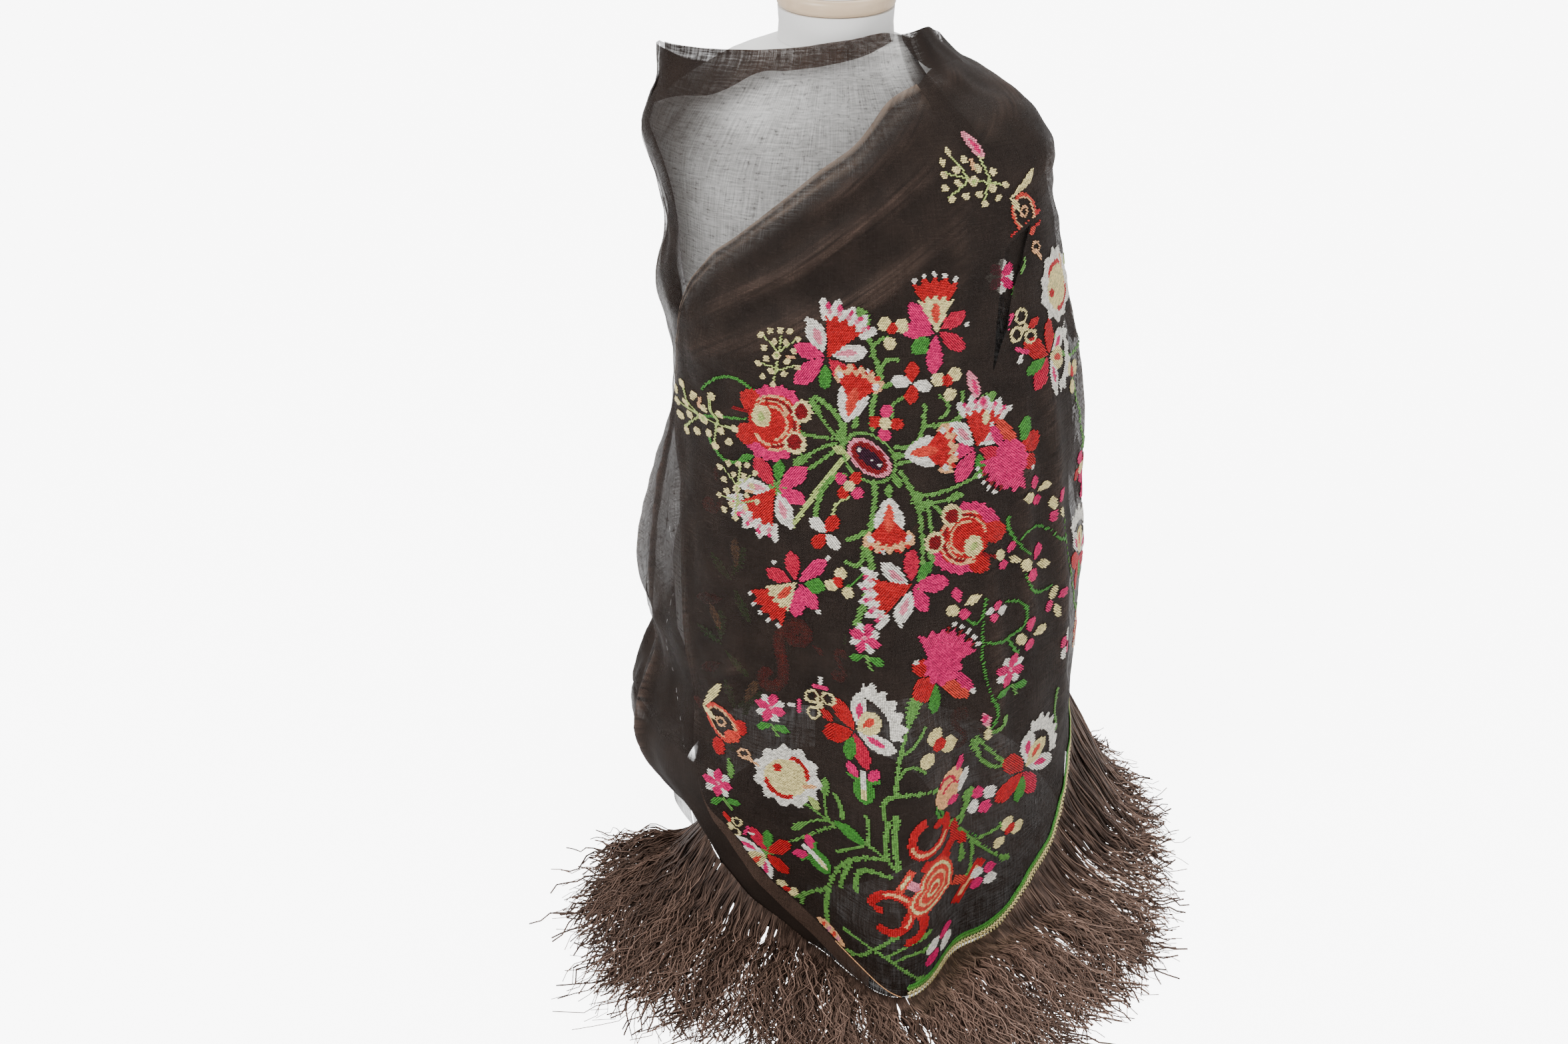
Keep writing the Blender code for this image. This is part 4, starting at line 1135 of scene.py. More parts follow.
# The stalks of each kind: three points of each, its width, and the length of the leaf at its end
Stem = namedtuple("Stem", "kind angle_1 height_1 angle_2 height_2 angle_3 height_3 wide leaf")
STEM_ROWS = (
    ("thin", (-44.5, 0.575, -34.0, 0.596, -24.0, 0.588, 3.0, 16),
        (-43.0, 0.548, -36.0, 0.556, -26.0, 0.562, 3.0, 0),
        (-40.0, 0.53, -33.0, 0.514, -27.0, 0.52, 3.0, 18)),
    ("stem", (3.9, 0.548, 1.9, 0.572, -4.7, 0.589, 4.5, 0), (2.7, 0.551, -0.6, 0.56, -4.4, 0.577, 3.0, 20),
        (2.7, 0.543, -3.3, 0.528, -13.8, 0.504, 4.0, 34), (1.5, 0.546, -2.5, 0.542, -7.4, 0.532, 3.0, 22),
        (1.9, 0.551, -3.8, 0.552, -9.2, 0.555, 3.0, 14)),
    ("pale", (5.1, 0.535, -2.4, 0.506, -10.8, 0.464, 5.5, 0)),
    ("stem", (4.0, 0.516, -1.6, 0.505, -4.2, 0.473, 5.0, 0)),
    ("pale", (5.5, 0.495, 1.7, 0.486, 1.1, 0.47, 3.0, 0)),
    ("stem", (12.2, 0.509, 12.2, 0.485, 9.6, 0.448, 5.0, 0), (9.6, 0.448, 11.0, 0.423, 7.7, 0.377, 6.5, 0),
        (9.8, 0.463, 8.0, 0.459, 5.5, 0.455, 4.0, 0), (9.2, 0.448, 8.3, 0.432, 4.9, 0.434, 4.0, 0)),
    ("thin", (10.0, 0.428, 7.5, 0.417, 4.9, 0.409, 2.5, 0)),
    ("stem", (19.8, 0.518, 22.0, 0.504, 23.6, 0.493, 4.0, 26),
        (23.6, 0.496, 31.0, 0.494, 41.4, 0.504, 4.0, 18), (27.2, 0.487, 30.6, 0.485, 33.6, 0.486, 3.0, 20),
        (23.8, 0.493, 24.8, 0.462, 24.2, 0.417, 4.5, 26), (26.7, 0.487, 27.4, 0.467, 27.6, 0.442, 3.5, 24),
        (27.2, 0.487, 31.2, 0.473, 34.6, 0.458, 3.5, 14), (19.1, 0.526, 21.1, 0.527, 23.4, 0.527, 3.0, 0),
        (18.9, 0.542, 25.2, 0.547, 27.5, 0.578, 4.0, 0), (27.6, 0.559, 35.8, 0.562, 43.6, 0.573, 4.0, 26),
        (12.1, 0.561, 12.4, 0.582, 14.2, 0.603, 4.5, 0), (14.2, 0.603, 14.4, 0.615, 10.4, 0.655, 4.5, 30),
        (12.4, 0.627, 13.8, 0.638, 17.6, 0.643, 3.0, 0), (15.1, 0.608, 16.5, 0.621, 20.4, 0.622, 3.5, 0),
        (14.5, 0.597, 17.1, 0.6, 19.6, 0.604, 3.5, 0), (17.9, 0.57, 18.5, 0.582, 22.5, 0.589, 3.0, 0),
        (31.8, 0.566, 34.2, 0.575, 32.1, 0.586, 3.0, 0), (36.8, 0.561, 37.9, 0.575, 38.7, 0.587, 3.0, 0),
        (7.1, 0.563, 7.6, 0.571, 7.8, 0.581, 4.5, 0), (16.3, 0.502, 16.4, 0.493, 16.0, 0.485, 4.0, 0)),
    ("thin", (49.6, 0.454, 50.2, 0.437, 54.7, 0.411, 3.0, 0),
        (52.9, 0.429, 58.5, 0.434, 64.8, 0.414, 2.5, 0), (64.8, 0.414, 67.6, 0.405, 71.4, 0.401, 2.5, 0),
        (53.3, 0.391, 56.8, 0.367, 63.1, 0.363, 2.5, 0), (35.8, 0.366, 39.3, 0.357, 41.4, 0.379, 3.0, 0),
        (40.6, 0.356, 39.9, 0.316, 41.3, 0.275, 3.0, 0), (41.3, 0.275, 42.5, 0.257, 39.5, 0.241, 3.0, 0),
        (41.1, 0.335, 46.8, 0.332, 52.1, 0.337, 3.0, 0), (52.1, 0.337, 52.7, 0.358, 47.3, 0.37, 3.0, 0),
        (47.2, 0.331, 48.4, 0.322, 49.6, 0.314, 2.5, 9)),
    ("stem", (66.1, 0.239, 65.6, 0.217, 66.3, 0.191, 3.5, 0),
        (37.1, 0.238, 40.1, 0.221, 44.4, 0.201, 3.5, 0), (39.4, 0.238, 43.4, 0.242, 44.8, 0.249, 3.5, 0),
        (45.2, 0.201, 39.9, 0.204, 36.7, 0.227, 3.5, 18), (14.1, 0.216, 15.1, 0.248, 18.1, 0.288, 4.5, 34),
        (16.1, 0.253, 18.6, 0.259, 20.7, 0.271, 3.0, 0), (15.0, 0.233, 17.1, 0.239, 20.3, 0.229, 3.0, 0),
        (12.4, 0.185, 13.0, 0.213, 22.3, 0.206, 4.5, 0)),
    ("thin", (23.0, 0.19, 24.4, 0.169, 35.5, 0.131, 2.5, 0)),
    ("stem", (27.2, 0.163, 31.0, 0.162, 32.8, 0.177, 3.5, 16),
        (-6.5, 0.177, -1.1, 0.169, 3.7, 0.167, 3.0, 0)),
    ("bud", (3.1, 0.17, 6.1, 0.167, 8.4, 0.163, 14.0, 0)),
    ("stem", (8.6, 0.164, 11.4, 0.156, 13.5, 0.143, 3.0, 0), (1.3, 0.169, 0.6, 0.176, 0.5, 0.198, 2.5, 22),
        (1.6, 0.166, -1.0, 0.162, -6.1, 0.149, 2.5, 20), (2.5, 0.164, -5.7, 0.135, -15.2, 0.11, 3.5, 26),
        (3.1, 0.199, 4.0, 0.19, 4.4, 0.179, 4.0, 0), (8.8, 0.191, 9.2, 0.181, 9.1, 0.166, 3.0, 0),
        (3.1, 0.138, 5.6, 0.149, 8.1, 0.16, 2.5, 0), (12.0, 0.154, 5.6, 0.137, 1.4, 0.09, 4.5, 0),
        (1.4, 0.09, 1.0, 0.069, 1.2, 0.049, 4.5, 0), (5.7, 0.132, 4.5, 0.118, 4.0, 0.103, 3.5, 0),
        (12.4, 0.137, 8.0, 0.135, 6.9, 0.111, 4.5, 0), (1.1, 0.089, -7.5, 0.059, -16.6, 0.04, 4.0, 24),
        (-4.8, 0.067, -5.9, 0.054, -4.8, 0.043, 3.5, 0), (12.1, 0.154, 12.0, 0.172, 12.5, 0.188, 4.5, 0),
        (13.8, 0.146, 13.5, 0.166, 13.7, 0.185, 5.0, 20)),
    ("thin", (23.4, 0.188, 25.8, 0.165, 31.3, 0.145, 2.5, 0)),
    ("stem", (31.3, 0.145, 36.2, 0.121, 43.3, 0.092, 3.5, 14),
        (30.5, 0.148, 30.8, 0.136, 30.7, 0.121, 3.0, 16), (34.0, 0.127, 34.3, 0.111, 33.5, 0.094, 3.0, 18),
        (29.7, 0.153, 32.3, 0.163, 34.0, 0.178, 3.0, 16), (34.7, 0.128, 38.2, 0.128, 41.7, 0.131, 3.0, 14),
        (4.9, 0.058, 7.5, 0.057, 10.0, 0.053, 3.0, 0), (10.0, 0.053, 12.9, 0.044, 17.2, 0.021, 3.5, 18),
        (9.8, 0.055, 11.3, 0.064, 12.6, 0.072, 3.0, 14), (11.8, 0.051, 14.3, 0.062, 17.7, 0.066, 3.0, 16),
        (12.9, 0.046, 15.1, 0.053, 18.1, 0.052, 3.0, 14), (9.3, 0.052, 8.0, 0.042, 6.4, 0.036, 3.0, 14),
        (70.0, 0.61, 78.0, 0.58, 92.0, 0.59, 4.0, 18), (76.0, 0.59, 80.0, 0.52, 84.0, 0.48, 4.0, 20),
        (90.0, 0.56, 96.0, 0.48, 94.0, 0.4, 4.0, 24), (96.0, 0.5, 104.0, 0.47, 112.0, 0.46, 4.0, 20),
        (70.0, 0.42, 74.0, 0.34, 84.0, 0.29, 4.0, 22), (84.0, 0.4, 92.0, 0.37, 98.0, 0.3, 3.5, 18),
        (100.0, 0.44, 106.0, 0.34, 104.0, 0.29, 4.0, 20), (114.0, 0.44, 122.0, 0.42, 130.0, 0.4, 4.0, 22),
        (118.0, 0.54, 124.0, 0.5, 128.0, 0.47, 4.0, 20), (112.0, 0.34, 118.0, 0.3, 118.0, 0.25, 4.0, 20)),
)
STEMS = [Stem(kind, *row) for kind, *rows in STEM_ROWS for row in rows]

STITCH_PITCH = 0.70  # degrees between the stitches of one row
ROW_PITCH = 0.00145  # metres between rows
WIDEST_STITCH = 0.0033  # metres, past which a stitch is worked as two
STITCH_LENGTH = 0.68  # half a stitch, in pitches
STITCH_WIDTH = 0.56
STITCH_HIGH = 0.00070
STITCH_ABOVE = 0.0006
REACH_OF_MOTIF = 0.098
REACH_OF_STEM = (24.0, 0.09)  # degrees and metres from its middle point
STEM_TILT = 0.35  # radians between a stitch and its row
MARK_TILT = 0.45
CHART_HEIGHTS = (0.003, 0.87)
LOW_CLEAR = 0.004  # metres with no stitches, above a stretch's low edge and below its high edge
HIGH_CLEAR = 0.003
LINE_WIDTH = 2.4
SCROLL_LENGTH = 150.0
SCROLL_LONG_END = 0.62  # of its length
SCROLL_CURLS = (21.0, 33.0)  # how tightly its longer and shorter ends curl
SCROLL_STROKE = 9.0
MOTIF_STRETCH = 1.08
LEAST_SHARE = 0.45
DRAWN_REACH = 40.0
WORKED_WIDE_TO = 50.0  # degrees, past which flowers are worked as wide as they are drawn
WORKED_WIDE_SOFT = 20.0


# The teeth, beads and spikes of the shapes: how many there are, and their sizes as shares of the
# shape's own length or in millimetres
SCALLOPS = 11
FRILL_TEETH = 21
FRILL_DEPTH = 0.07
FRILL_INSIDE = 0.70
FAN_TEETH = 24
FAN_DEPTH = 0.06
BEADS = 5
BEAD_RADIUS = 2.4
SPIKES = 6
SPIKE_HALF = 1.3
EYE_INSIDE = 0.62


def from_nearest(way, step):
    """How far each direction is from the nearest of those that lie step degrees apart, in radians."""
    return np.radians((way + 0.5 * step) % step - 0.5 * step)


def mark_mask(mark, x, y):
    """Which stitches at x and y, in millimetres from the motif's middle, a mark covers."""
    turn = radians(mark.turn)
    dx, dy = x - mark.x, y - mark.y
    along, across = dx * cos(turn) + dy * sin(turn), dy * cos(turn) - dx * sin(turn)
    far, way = np.hypot(along, across), np.degrees(np.arctan2(across, along))
    long, wide = mark.long, mark.wide
    if mark.shape in ("petal", "leaf"):
        share = np.clip(along / long, 0.0, 1.0)
        half = 0.5 * wide * np.sin(pi * share**1.25) ** 0.65
        if mark.shape == "leaf":
            half = half * (0.82 + 0.22 * np.cos(2 * pi * along / 4.5))
        return (along > 0) & (along < long) & (np.abs(across) < half)
    if mark.shape == "disc":
        return (2 * along / long) ** 2 + (2 * across / wide) ** 2 < 1.0
    if mark.shape == "ring":
        size = np.sqrt((2 * along / long) ** 2 + (2 * across / wide) ** 2)
        return np.abs(size - 1.0) < LINE_WIDTH / min(long, wide)
    if mark.shape == "scallop":
        size = np.sqrt((2 * along / long) ** 2 + (2 * across / wide) ** 2)
        return size < 1.0 + FRILL_DEPTH * np.cos(np.radians(way) * SCALLOPS)
    if mark.shape == "arc":
        return (np.abs(far - long) < 0.5 * LINE_WIDTH) & (np.abs(way) < 0.5 * wide)
    if mark.shape in ("curl", "hook"):
        stroke = SCROLL_STROKE if mark.colour == "red" else 0.36 * SCROLL_STROKE  # red is the outer line
        band = (np.abs(far - long) < 0.5 * stroke) & (np.abs(way) < 0.5 * wide)
        end = radians(0.5 * wide)
        curled = EYE_INSIDE * long
        eye = np.hypot(along - curled * cos(end), across - curled * sin(end)) < 0.5 * stroke
        return band | (eye & (mark.shape == "curl") & (mark.colour == "red"))
    if mark.shape == "fan":
        edge = long * (1.0 + FAN_DEPTH * np.cos(np.radians(way) * FAN_TEETH))
        return (far < edge) & (np.abs(way) < 0.5 * wide)
    if mark.shape == "frill":
        edge = long * (1.0 + FRILL_DEPTH * np.cos(np.radians(way) * FRILL_TEETH))
        return (far < edge) & (far > FRILL_INSIDE * long) & (np.abs(way) < 0.5 * wide)
    if mark.shape == "beads":
        near = from_nearest(way, wide / BEADS) * far
        return (np.hypot(near, far - long) < BEAD_RADIUS) & (np.abs(way) < 0.55 * wide)
    if mark.shape == "spikes":
        near = from_nearest(way, wide / SPIKES) * far
        return (np.abs(near) < SPIKE_HALF) & (far < long) & (np.abs(way) < 0.55 * wide)
    if mark.shape == "bar":
        return (np.abs(along) < 0.5 * long) & (np.abs(across) < 0.5 * wide)
    if mark.shape == "heart":
        u, v = 2.3 * across / wide, 2.3 * along / long + 0.15
        return (u**2 + v**2 - 1.0) ** 3 < u**2 * v**3
    return scroll_mask(mark, along, across)


def scroll_mask(mark, along, across):
    """A scroll that curls one way at its longer end and the other way at the other."""
    run = np.linspace(-SCROLL_LONG_END, 1.0 - SCROLL_LONG_END, 90)
    heading = -np.where(run < 0.0, *SCROLL_CURLS) * run**2
    step = SCROLL_LENGTH / (len(run) - 1)
    xs, ys = np.cumsum(np.cos(heading)) * step, np.cumsum(np.sin(heading)) * step
    middle = int(np.argmin(np.abs(run)))
    xs, ys = xs - xs[middle], ys - ys[middle]
    drawn = np.abs(run + SCROLL_LONG_END - 0.5) < 0.5 * mark.long / SCROLL_LENGTH
    mask = np.zeros(along.shape, bool)
    for px, py in zip(xs[drawn], ys[drawn]):
        mask |= np.hypot(along - px, across - py) < 0.5 * mark.wide
    return mask


def stem_mask(stem, x, y, points):
    """A stalk through its three points, with its leaf, in the same way."""
    bend = 2 * points[1] - 0.5 * (points[0] + points[2])
    share = np.linspace(0.0, 1.0, STEM_POINTS)[:, None]
    path = (1 - share) ** 2 * points[0] + 2 * share * (1 - share) * bend + share**2 * points[2]
    mask = np.zeros(x.shape, bool)
    wide = 0.5 * stem.wide
    for k, (px, py) in enumerate(path):
        bulge = 1.0
        if stem.kind == "bud":
            bulge = 0.25 + 0.75 * sin(pi * k / (len(path) - 1))
        elif stem.kind == "stem":
            bulge = 1.0 + 0.25 * cos(2.2 * k)
        mask |= np.hypot(x - px, y - py) < wide * bulge
    if stem.leaf:
        heading = path[-1] - path[-6]
        turn = np.degrees(np.arctan2(heading[1], heading[0]))
        foot = path[-1] - heading / np.linalg.norm(heading) * 0.35 * stem.leaf
        leaf = Mark("leaf", "", foot[0], foot[1], turn, stem.leaf, 0.50 * stem.leaf)
        mask |= mark_mask(leaf, x, y)
    return mask


STEM_POINTS = 24
STEM_COLOURS = {"stem": "stem_green", "thin": "leaf_green", "pale": "pale_green", "bud": "leaf_green"}


def drawn_across(centre, height, angle):
    """How far across, in metres, each angle is from a motif's middle, where it is drawn.

    Where the front of the panel turns away from a viewer, its flowers are worked wider.
    """
    angles = np.arange(centre - DRAWN_REACH, centre + DRAWN_REACH + 1.0, 1.0)
    steps = np.diff(on_cloth("front_panel", angles, height), axis=0)
    length = np.linalg.norm(steps, axis=1)
    seen = np.maximum(np.abs(steps[:, 0]), LEAST_SHARE * length)
    side = smooth_step((angles[:-1] - WORKED_WIDE_TO) / WORKED_WIDE_SOFT)
    run = np.concatenate([[0.0], np.cumsum(seen * (1.0 - side) + length * side)])
    return np.interp(angle, angles, run) - np.interp(centre, angles, run)


def metres_per(name, angle, height):
    """How many metres of cloth one degree and one metre of height are, at a place."""
    around = on_cloth(name, angle + 0.5, height) - on_cloth(name, angle - 0.5, height)
    up = on_cloth(name, angle, height + NORMAL_STEP) - on_cloth(name, angle, height - NORMAL_STEP)
    return np.linalg.norm(around, axis=-1), np.linalg.norm(up, axis=-1) / (2 * NORMAL_STEP)


def chart_cells(name):
    """The places of every stitch that a stretch of cloth has room for."""
    stretch = STRETCHES[name]
    columns = STITCH_PITCH * np.arange(np.ceil(stretch.start / STITCH_PITCH), stretch.end / STITCH_PITCH)
    rows = np.arange(*CHART_HEIGHTS, ROW_PITCH)
    angle, height = np.meshgrid(columns, rows)
    angle = angle + 0.5 * STITCH_PITCH * (np.arange(len(rows)) % 2)[:, None]
    low, high = edge_height(stretch.low_edge, angle), edge_height(stretch.high_edge, angle)
    inside = (height > low + LOW_CLEAR) & (height < high - HIGH_CLEAR)
    inside &= (angle > stretch.start) & (angle < stretch.end)
    angle, height = angle[inside], height[inside]
    drawn_out = STITCH_PITCH * metres_per(name, angle, height)[0] > WIDEST_STITCH
    quarter = 0.25 * STITCH_PITCH
    whole, split = angle[~drawn_out], angle[drawn_out]
    pitch = np.repeat([STITCH_PITCH, 0.5 * STITCH_PITCH], [len(whole), 2 * len(split)])
    angle = np.concatenate([whole, split - quarter, split + quarter])
    height = np.concatenate([height[~drawn_out], height[drawn_out], height[drawn_out]])
    return angle, height, pitch


def painted_chart(name, places, stems):
    """The colour of each stitch of a stretch, its tilt, and which stitches are worked."""
    angle, height, pitch = chart_cells(name)
    colour = np.full(angle.shape, -1)
    tilt = np.zeros(angle.shape)
    for stem in stems:
        y_scale = float(metres_per("front_panel", stem.angle_2, stem.height_2)[1])
        near = np.abs(angle - stem.angle_2) < REACH_OF_STEM[0]
        near &= np.abs(height - stem.height_2) < REACH_OF_STEM[1]
        x = 1000 * drawn_across(stem.angle_2, stem.height_2, angle[near])
        y = 1000 * y_scale * height[near]
        ends = np.array(stem[1:7], float).reshape(3, 2)
        ends[:, 0] = 1000 * drawn_across(stem.angle_2, stem.height_2, ends[:, 0])
        ends[:, 1] *= 1000 * y_scale
        mask = stem_mask(stem, x, y, ends)
        places_near = np.flatnonzero(near)[mask]
        colour[places_near] = COLOUR_NAMES.index(STEM_COLOURS[stem.kind])
        tilt[places_near] = STEM_TILT
    for place in places:
        y_scale = float(metres_per("front_panel", place.angle, place.height)[1])
        x = drawn_across(place.angle, place.height, angle) / place.widen
        y = (height - place.height) * y_scale / MOTIF_STRETCH
        near = np.flatnonzero(np.hypot(x, y) < REACH_OF_MOTIF)
        turn = radians(place.turn)
        x, y = 1000 * x[near] / place.size, 1000 * y[near] / place.size
        x, y = x * cos(turn) + y * sin(turn), y * cos(turn) - x * sin(turn)
        for mark in MOTIFS[place.motif]:
            mask = mark_mask(mark, x, y)
            colour[near[mask]] = COLOUR_NAMES.index(mark.colour)
            tilt[near[mask]] = MARK_TILT * sin(2 * radians(mark.turn + place.turn))
    worked = colour >= 0
    return angle[worked], height[worked], colour[worked], tilt[worked], pitch[worked]


def new_maker(name, sizes):
    """An empty tree of geometry nodes whose inputs are a mesh and some named sizes."""
    inputs = {"Geometry": ("NodeSocketGeometry", None)}
    inputs.update({socket: ("NodeSocketFloat", size) for socket, size in sizes.items()})
    return new_group(name, inputs, {"Geometry": "NodeSocketGeometry"}, "GeometryNodeTree")


def stitch_tree(name, long, wide, high, material):
    """A tree that puts one stitch at each point, by the point's turn, scale and floss colour."""
    tree, wires = new_maker(name, {"Length": long, "Width": wide, "Height": high})
    source = wires.add("NodeGroupInput").outputs
    grain = wires.add("GeometryNodeMeshUVSphere", {"Segments": 3, "Rings": 3, "Radius": 1.0})
    laid = wires.add("GeometryNodeTransform", {"Geometry": grain.outputs[0], "Rotation": (0.0, pi / 2, 0.0)})
    size = wires.add("ShaderNodeCombineXYZ", {0: source["Length"], 1: source["Width"], 2: source["Height"]})
    stitch = wires.add("GeometryNodeTransform", {"Geometry": laid.outputs[0], "Scale": size.outputs[0]})
    smooth = wires.add("GeometryNodeSetShadeSmooth", {0: stitch.outputs[0]})
    turn, scale = (
        wires.add("GeometryNodeInputNamedAttribute", {"Name": each}, data_type="FLOAT_VECTOR").outputs[0]
        for each in ("turn", "scale")
    )
    rotation = wires.add("FunctionNodeEulerToRotation", {0: turn}).outputs[0]
    laid_out = wires.add(
        "GeometryNodeInstanceOnPoints",
        {"Points": source["Geometry"], "Instance": smooth.outputs[0], "Rotation": rotation, "Scale": scale},
    )
    real = wires.add("GeometryNodeRealizeInstances", {0: laid_out.outputs[0]})
    finished = wires.add("GeometryNodeSetMaterial", {"Geometry": real.outputs[0], "Material": material})
    wires.add("NodeGroupOutput", {0: finished.outputs[0]})
    return tree


def turned_into(along, across, normal):
    """The XYZ turns that take a stitch's own directions to these."""
    turn_y = -np.arcsin(np.clip(along[:, 2], -1.0, 1.0))
    turn_x = np.arctan2(across[:, 2], normal[:, 2])
    turn_z = np.arctan2(along[:, 1], along[:, 0])
    return np.stack([turn_x, turn_y, turn_z], -1)


def applied(name, mesh, tree):
    """A plain mesh object of what a tree makes of a mesh."""
    source = bpy.data.objects.new(name + "_source", mesh)
    bpy.context.scene.collection.objects.link(source)
    modifier = source.modifiers.new("made", "NODES")
    modifier.node_group = tree
    bpy.context.view_layer.update()
    evaluated = source.evaluated_get(bpy.context.evaluated_depsgraph_get())
    made = bpy.data.meshes.new_from_object(evaluated)
    made.name = name
    source.modifiers.remove(modifier)
    bpy.data.objects.remove(source)
    piece = bpy.data.objects.new(name, made)
    bpy.context.scene.collection.objects.link(piece)
    return piece


def worked_stitches(name, tree, points, turns, scales, colours):
    """One piece of many stitches."""
    mesh = bpy.data.meshes.new(name + "_points")
    mesh.from_pydata(points.tolist(), [], [])
    set_points(mesh, "turn", turns, "FLOAT_VECTOR", "vector")
    set_points(mesh, "scale", scales, "FLOAT_VECTOR", "vector")
    shades = np.concatenate([colours, np.ones((len(colours), 1))], 1)
    set_points(mesh, "floss", shades, "FLOAT_COLOR", "color")
    return applied(name, mesh, tree)


def make_embroidery(piece_name, stretch_name, places, stems, wanted, node):
    """The stitches of some colours on one stretch of cloth."""
    chart = painted_chart(stretch_name, places, stems)
    chosen = np.isin(chart[2], [COLOUR_NAMES.index(name) for name in wanted])
    angle, height, colour, tilt, pitch = [column[chosen] for column in chart]
    point, around, up, normal = cloth_frame(stretch_name, angle, height, STITCH_ABOVE)
    degree, metre = metres_per(stretch_name, angle, height)
    random = np.random.default_rng(len(piece_name))
    tilt = tilt + random.normal(0.0, 0.10, len(tilt))
    along = around * np.cos(tilt)[:, None] + up * np.sin(tilt)[:, None]
    across = np.cross(normal, along)
    scales = np.stack([degree * pitch, metre * ROW_PITCH, np.ones(len(angle))], -1)
    scales[:, :2] *= random.uniform(0.90, 1.12, (len(angle), 1))
    shades = np.array([FLOSS_COLOURS[name] for name in COLOUR_NAMES])[colour]
    shades = shades * random.uniform(0.60, 1.12, (len(angle), 1))
    tree = stitch_tree(piece_name + "_stitch", STITCH_LENGTH, STITCH_WIDTH, STITCH_HIGH, FLOSS)
    piece = worked_stitches(piece_name, tree, point, turned_into(along, across, normal), scales, shades)
    return finish_piece(piece, "floss_silk", node)


GREENS = ("leaf_green", "stem_green", "pale_green")
REDS = ("hot_pink", "rose_red", "red", "coral", "dark_red", "plum")
PALE_COLOURS = ("peach", "cream", "white", "pale_pink")


# ---------------------------------------------------------------- the hem's edging

POINT_ANGLE = 15.0
BORDER_END = 149.0
EDGE_LINE_ANGLES = (3.0, 14.0)


def evenly_along(name, start, end, edge, rise, step):
    """Angles and heights that follow an edge with the same length of cloth between them."""
    angle = np.linspace(start, end, 2000)
    height = edge_height(edge, angle) + rise
    point = on_cloth(name, angle, height)
    run = np.concatenate([[0.0], np.cumsum(np.linalg.norm(np.diff(point, axis=0), axis=1))])
    at = np.arange(0.5 * step, run[-1], step)
    return np.interp(at, run, angle), np.interp(at, run, height)


# The rows of the edging: how far each is above the hem, its step, lean, size and colour
EdgeRow = namedtuple("EdgeRow", "rise step lean long wide above colour")
EDGE_ROWS = (
    EdgeRow(0.0160, 0.0020, 62.0, 0.0034, 0.0013, 0.0012, "leaf_green"),
    EdgeRow(0.0126, 0.0020, 118.0, 0.0034, 0.0013, 0.0013, "stem_green"),
    EdgeRow(0.0086, 0.0042, 44.0, 0.0036, 0.0013, 0.0018, "cream"),
    EdgeRow(0.0074, 0.0042, 136.0, 0.0036, 0.0013, 0.0020, "cream"),
    EdgeRow(0.0036, 0.0042, 90.0, 0.0034, 0.0016, 0.0022, "cream"),
)
EDGE_LINE = EdgeRow(0.0010, 0.0030, 0.0, 0.0022, 0.0007, 0.0006, "peach")


def stitches_on_edge(name, start, end, edge, row):
    """One row of the edging on one stretch: points, turns, scales and colours."""
    angle, height = evenly_along(name, start, end, edge, row.rise, row.step)
    point, _, _, normal = cloth_frame(name, angle, height, row.above)
    hem = np.gradient(point, axis=0)
    hem /= np.linalg.norm(hem, axis=1, keepdims=True)
    inward = np.cross(normal, hem)
    lean = radians(row.lean)
    along = hem * cos(lean) + inward * sin(lean)
    along -= normal * np.sum(along * normal, axis=1, keepdims=True)
    along /= np.linalg.norm(along, axis=1, keepdims=True)
    across = np.cross(normal, along)
    count = len(angle)
    random = np.random.default_rng(int(1e5 * row.rise) + count)
    scales = np.tile((row.long, row.wide, 1.0), (count, 1)) * random.uniform(0.9, 1.1, (count, 1))
    scales[:, 2] = 1.0
    shades = np.tile(FLOSS_COLOURS[row.colour], (count, 1)) * random.uniform(0.8, 1.1, (count, 1))
    return point, turned_into(along, across, normal), scales, shades


def make_hem_edging():
    """The needle-worked edging along the outer end's hem, and the thread on its left edge."""
    parts = []
    for row in EDGE_ROWS:
        parts.append(stitches_on_edge("front_panel", POINT_ANGLE, PANEL_END, "outer_hem", row))
        parts.append(stitches_on_edge("side_fold", PANEL_END, BORDER_END, "outer_hem", row))
    parts.append(stitches_on_edge("front_panel", *EDGE_LINE_ANGLES, "panel_low", EDGE_LINE))
    tree = stitch_tree("edging_stitch", 1.0, 1.0, 0.0009, FLOSS)
    piece = worked_stitches("hem_edging", tree, *(np.concatenate(part) for part in zip(*parts)))
    return finish_piece(piece, "floss_silk", "hem_border")


# ---------------------------------------------------------------- the fringe

FRINGE_GAP = 0.0006
BORDER_LAYER = OUTER_LAYER + CLOTH + 0.0005
FRINGE_REACH = (
    (-84.0, 0.120), (-75.0, 0.150), (-57.0, 0.186), (-40.0, 0.200), (-20.0, 0.200), (0.0, 0.192),
    (14.0, 0.184), (38.0, 0.172), (55.0, 0.154), (66.0, 0.132), (79.0, 0.115), (101.0, 0.105),
    (130.0, 0.095), (150.0, 0.080),
)
PILE = ((0.0, 0.010), (0.35, 0.024), (0.75, 0.017), (1.0, 0.006))
TUFT_STEP = 0.0040
TUFT_WIDTH = 0.0030
THREAD_RADIUS = 0.00060
THREAD_POINTS = 18
# the lowest threads' darker tone is painted shade beneath the others
UNDER_SHARE = 0.45  # of the threads, which are thicker, darker and lie lowest
STRAY_SHARE = 0.035  # of the threads, which run on past the others
STRAY_REACH = 1.12
LOOSE_WITHIN = 0.05  # metres from the hem, where a thread comes loose from its tuft
SETTLED_WITHIN = 0.030  # metres from the hem, where a thread has come down to the table
LOWEST_THREAD = 0.0014

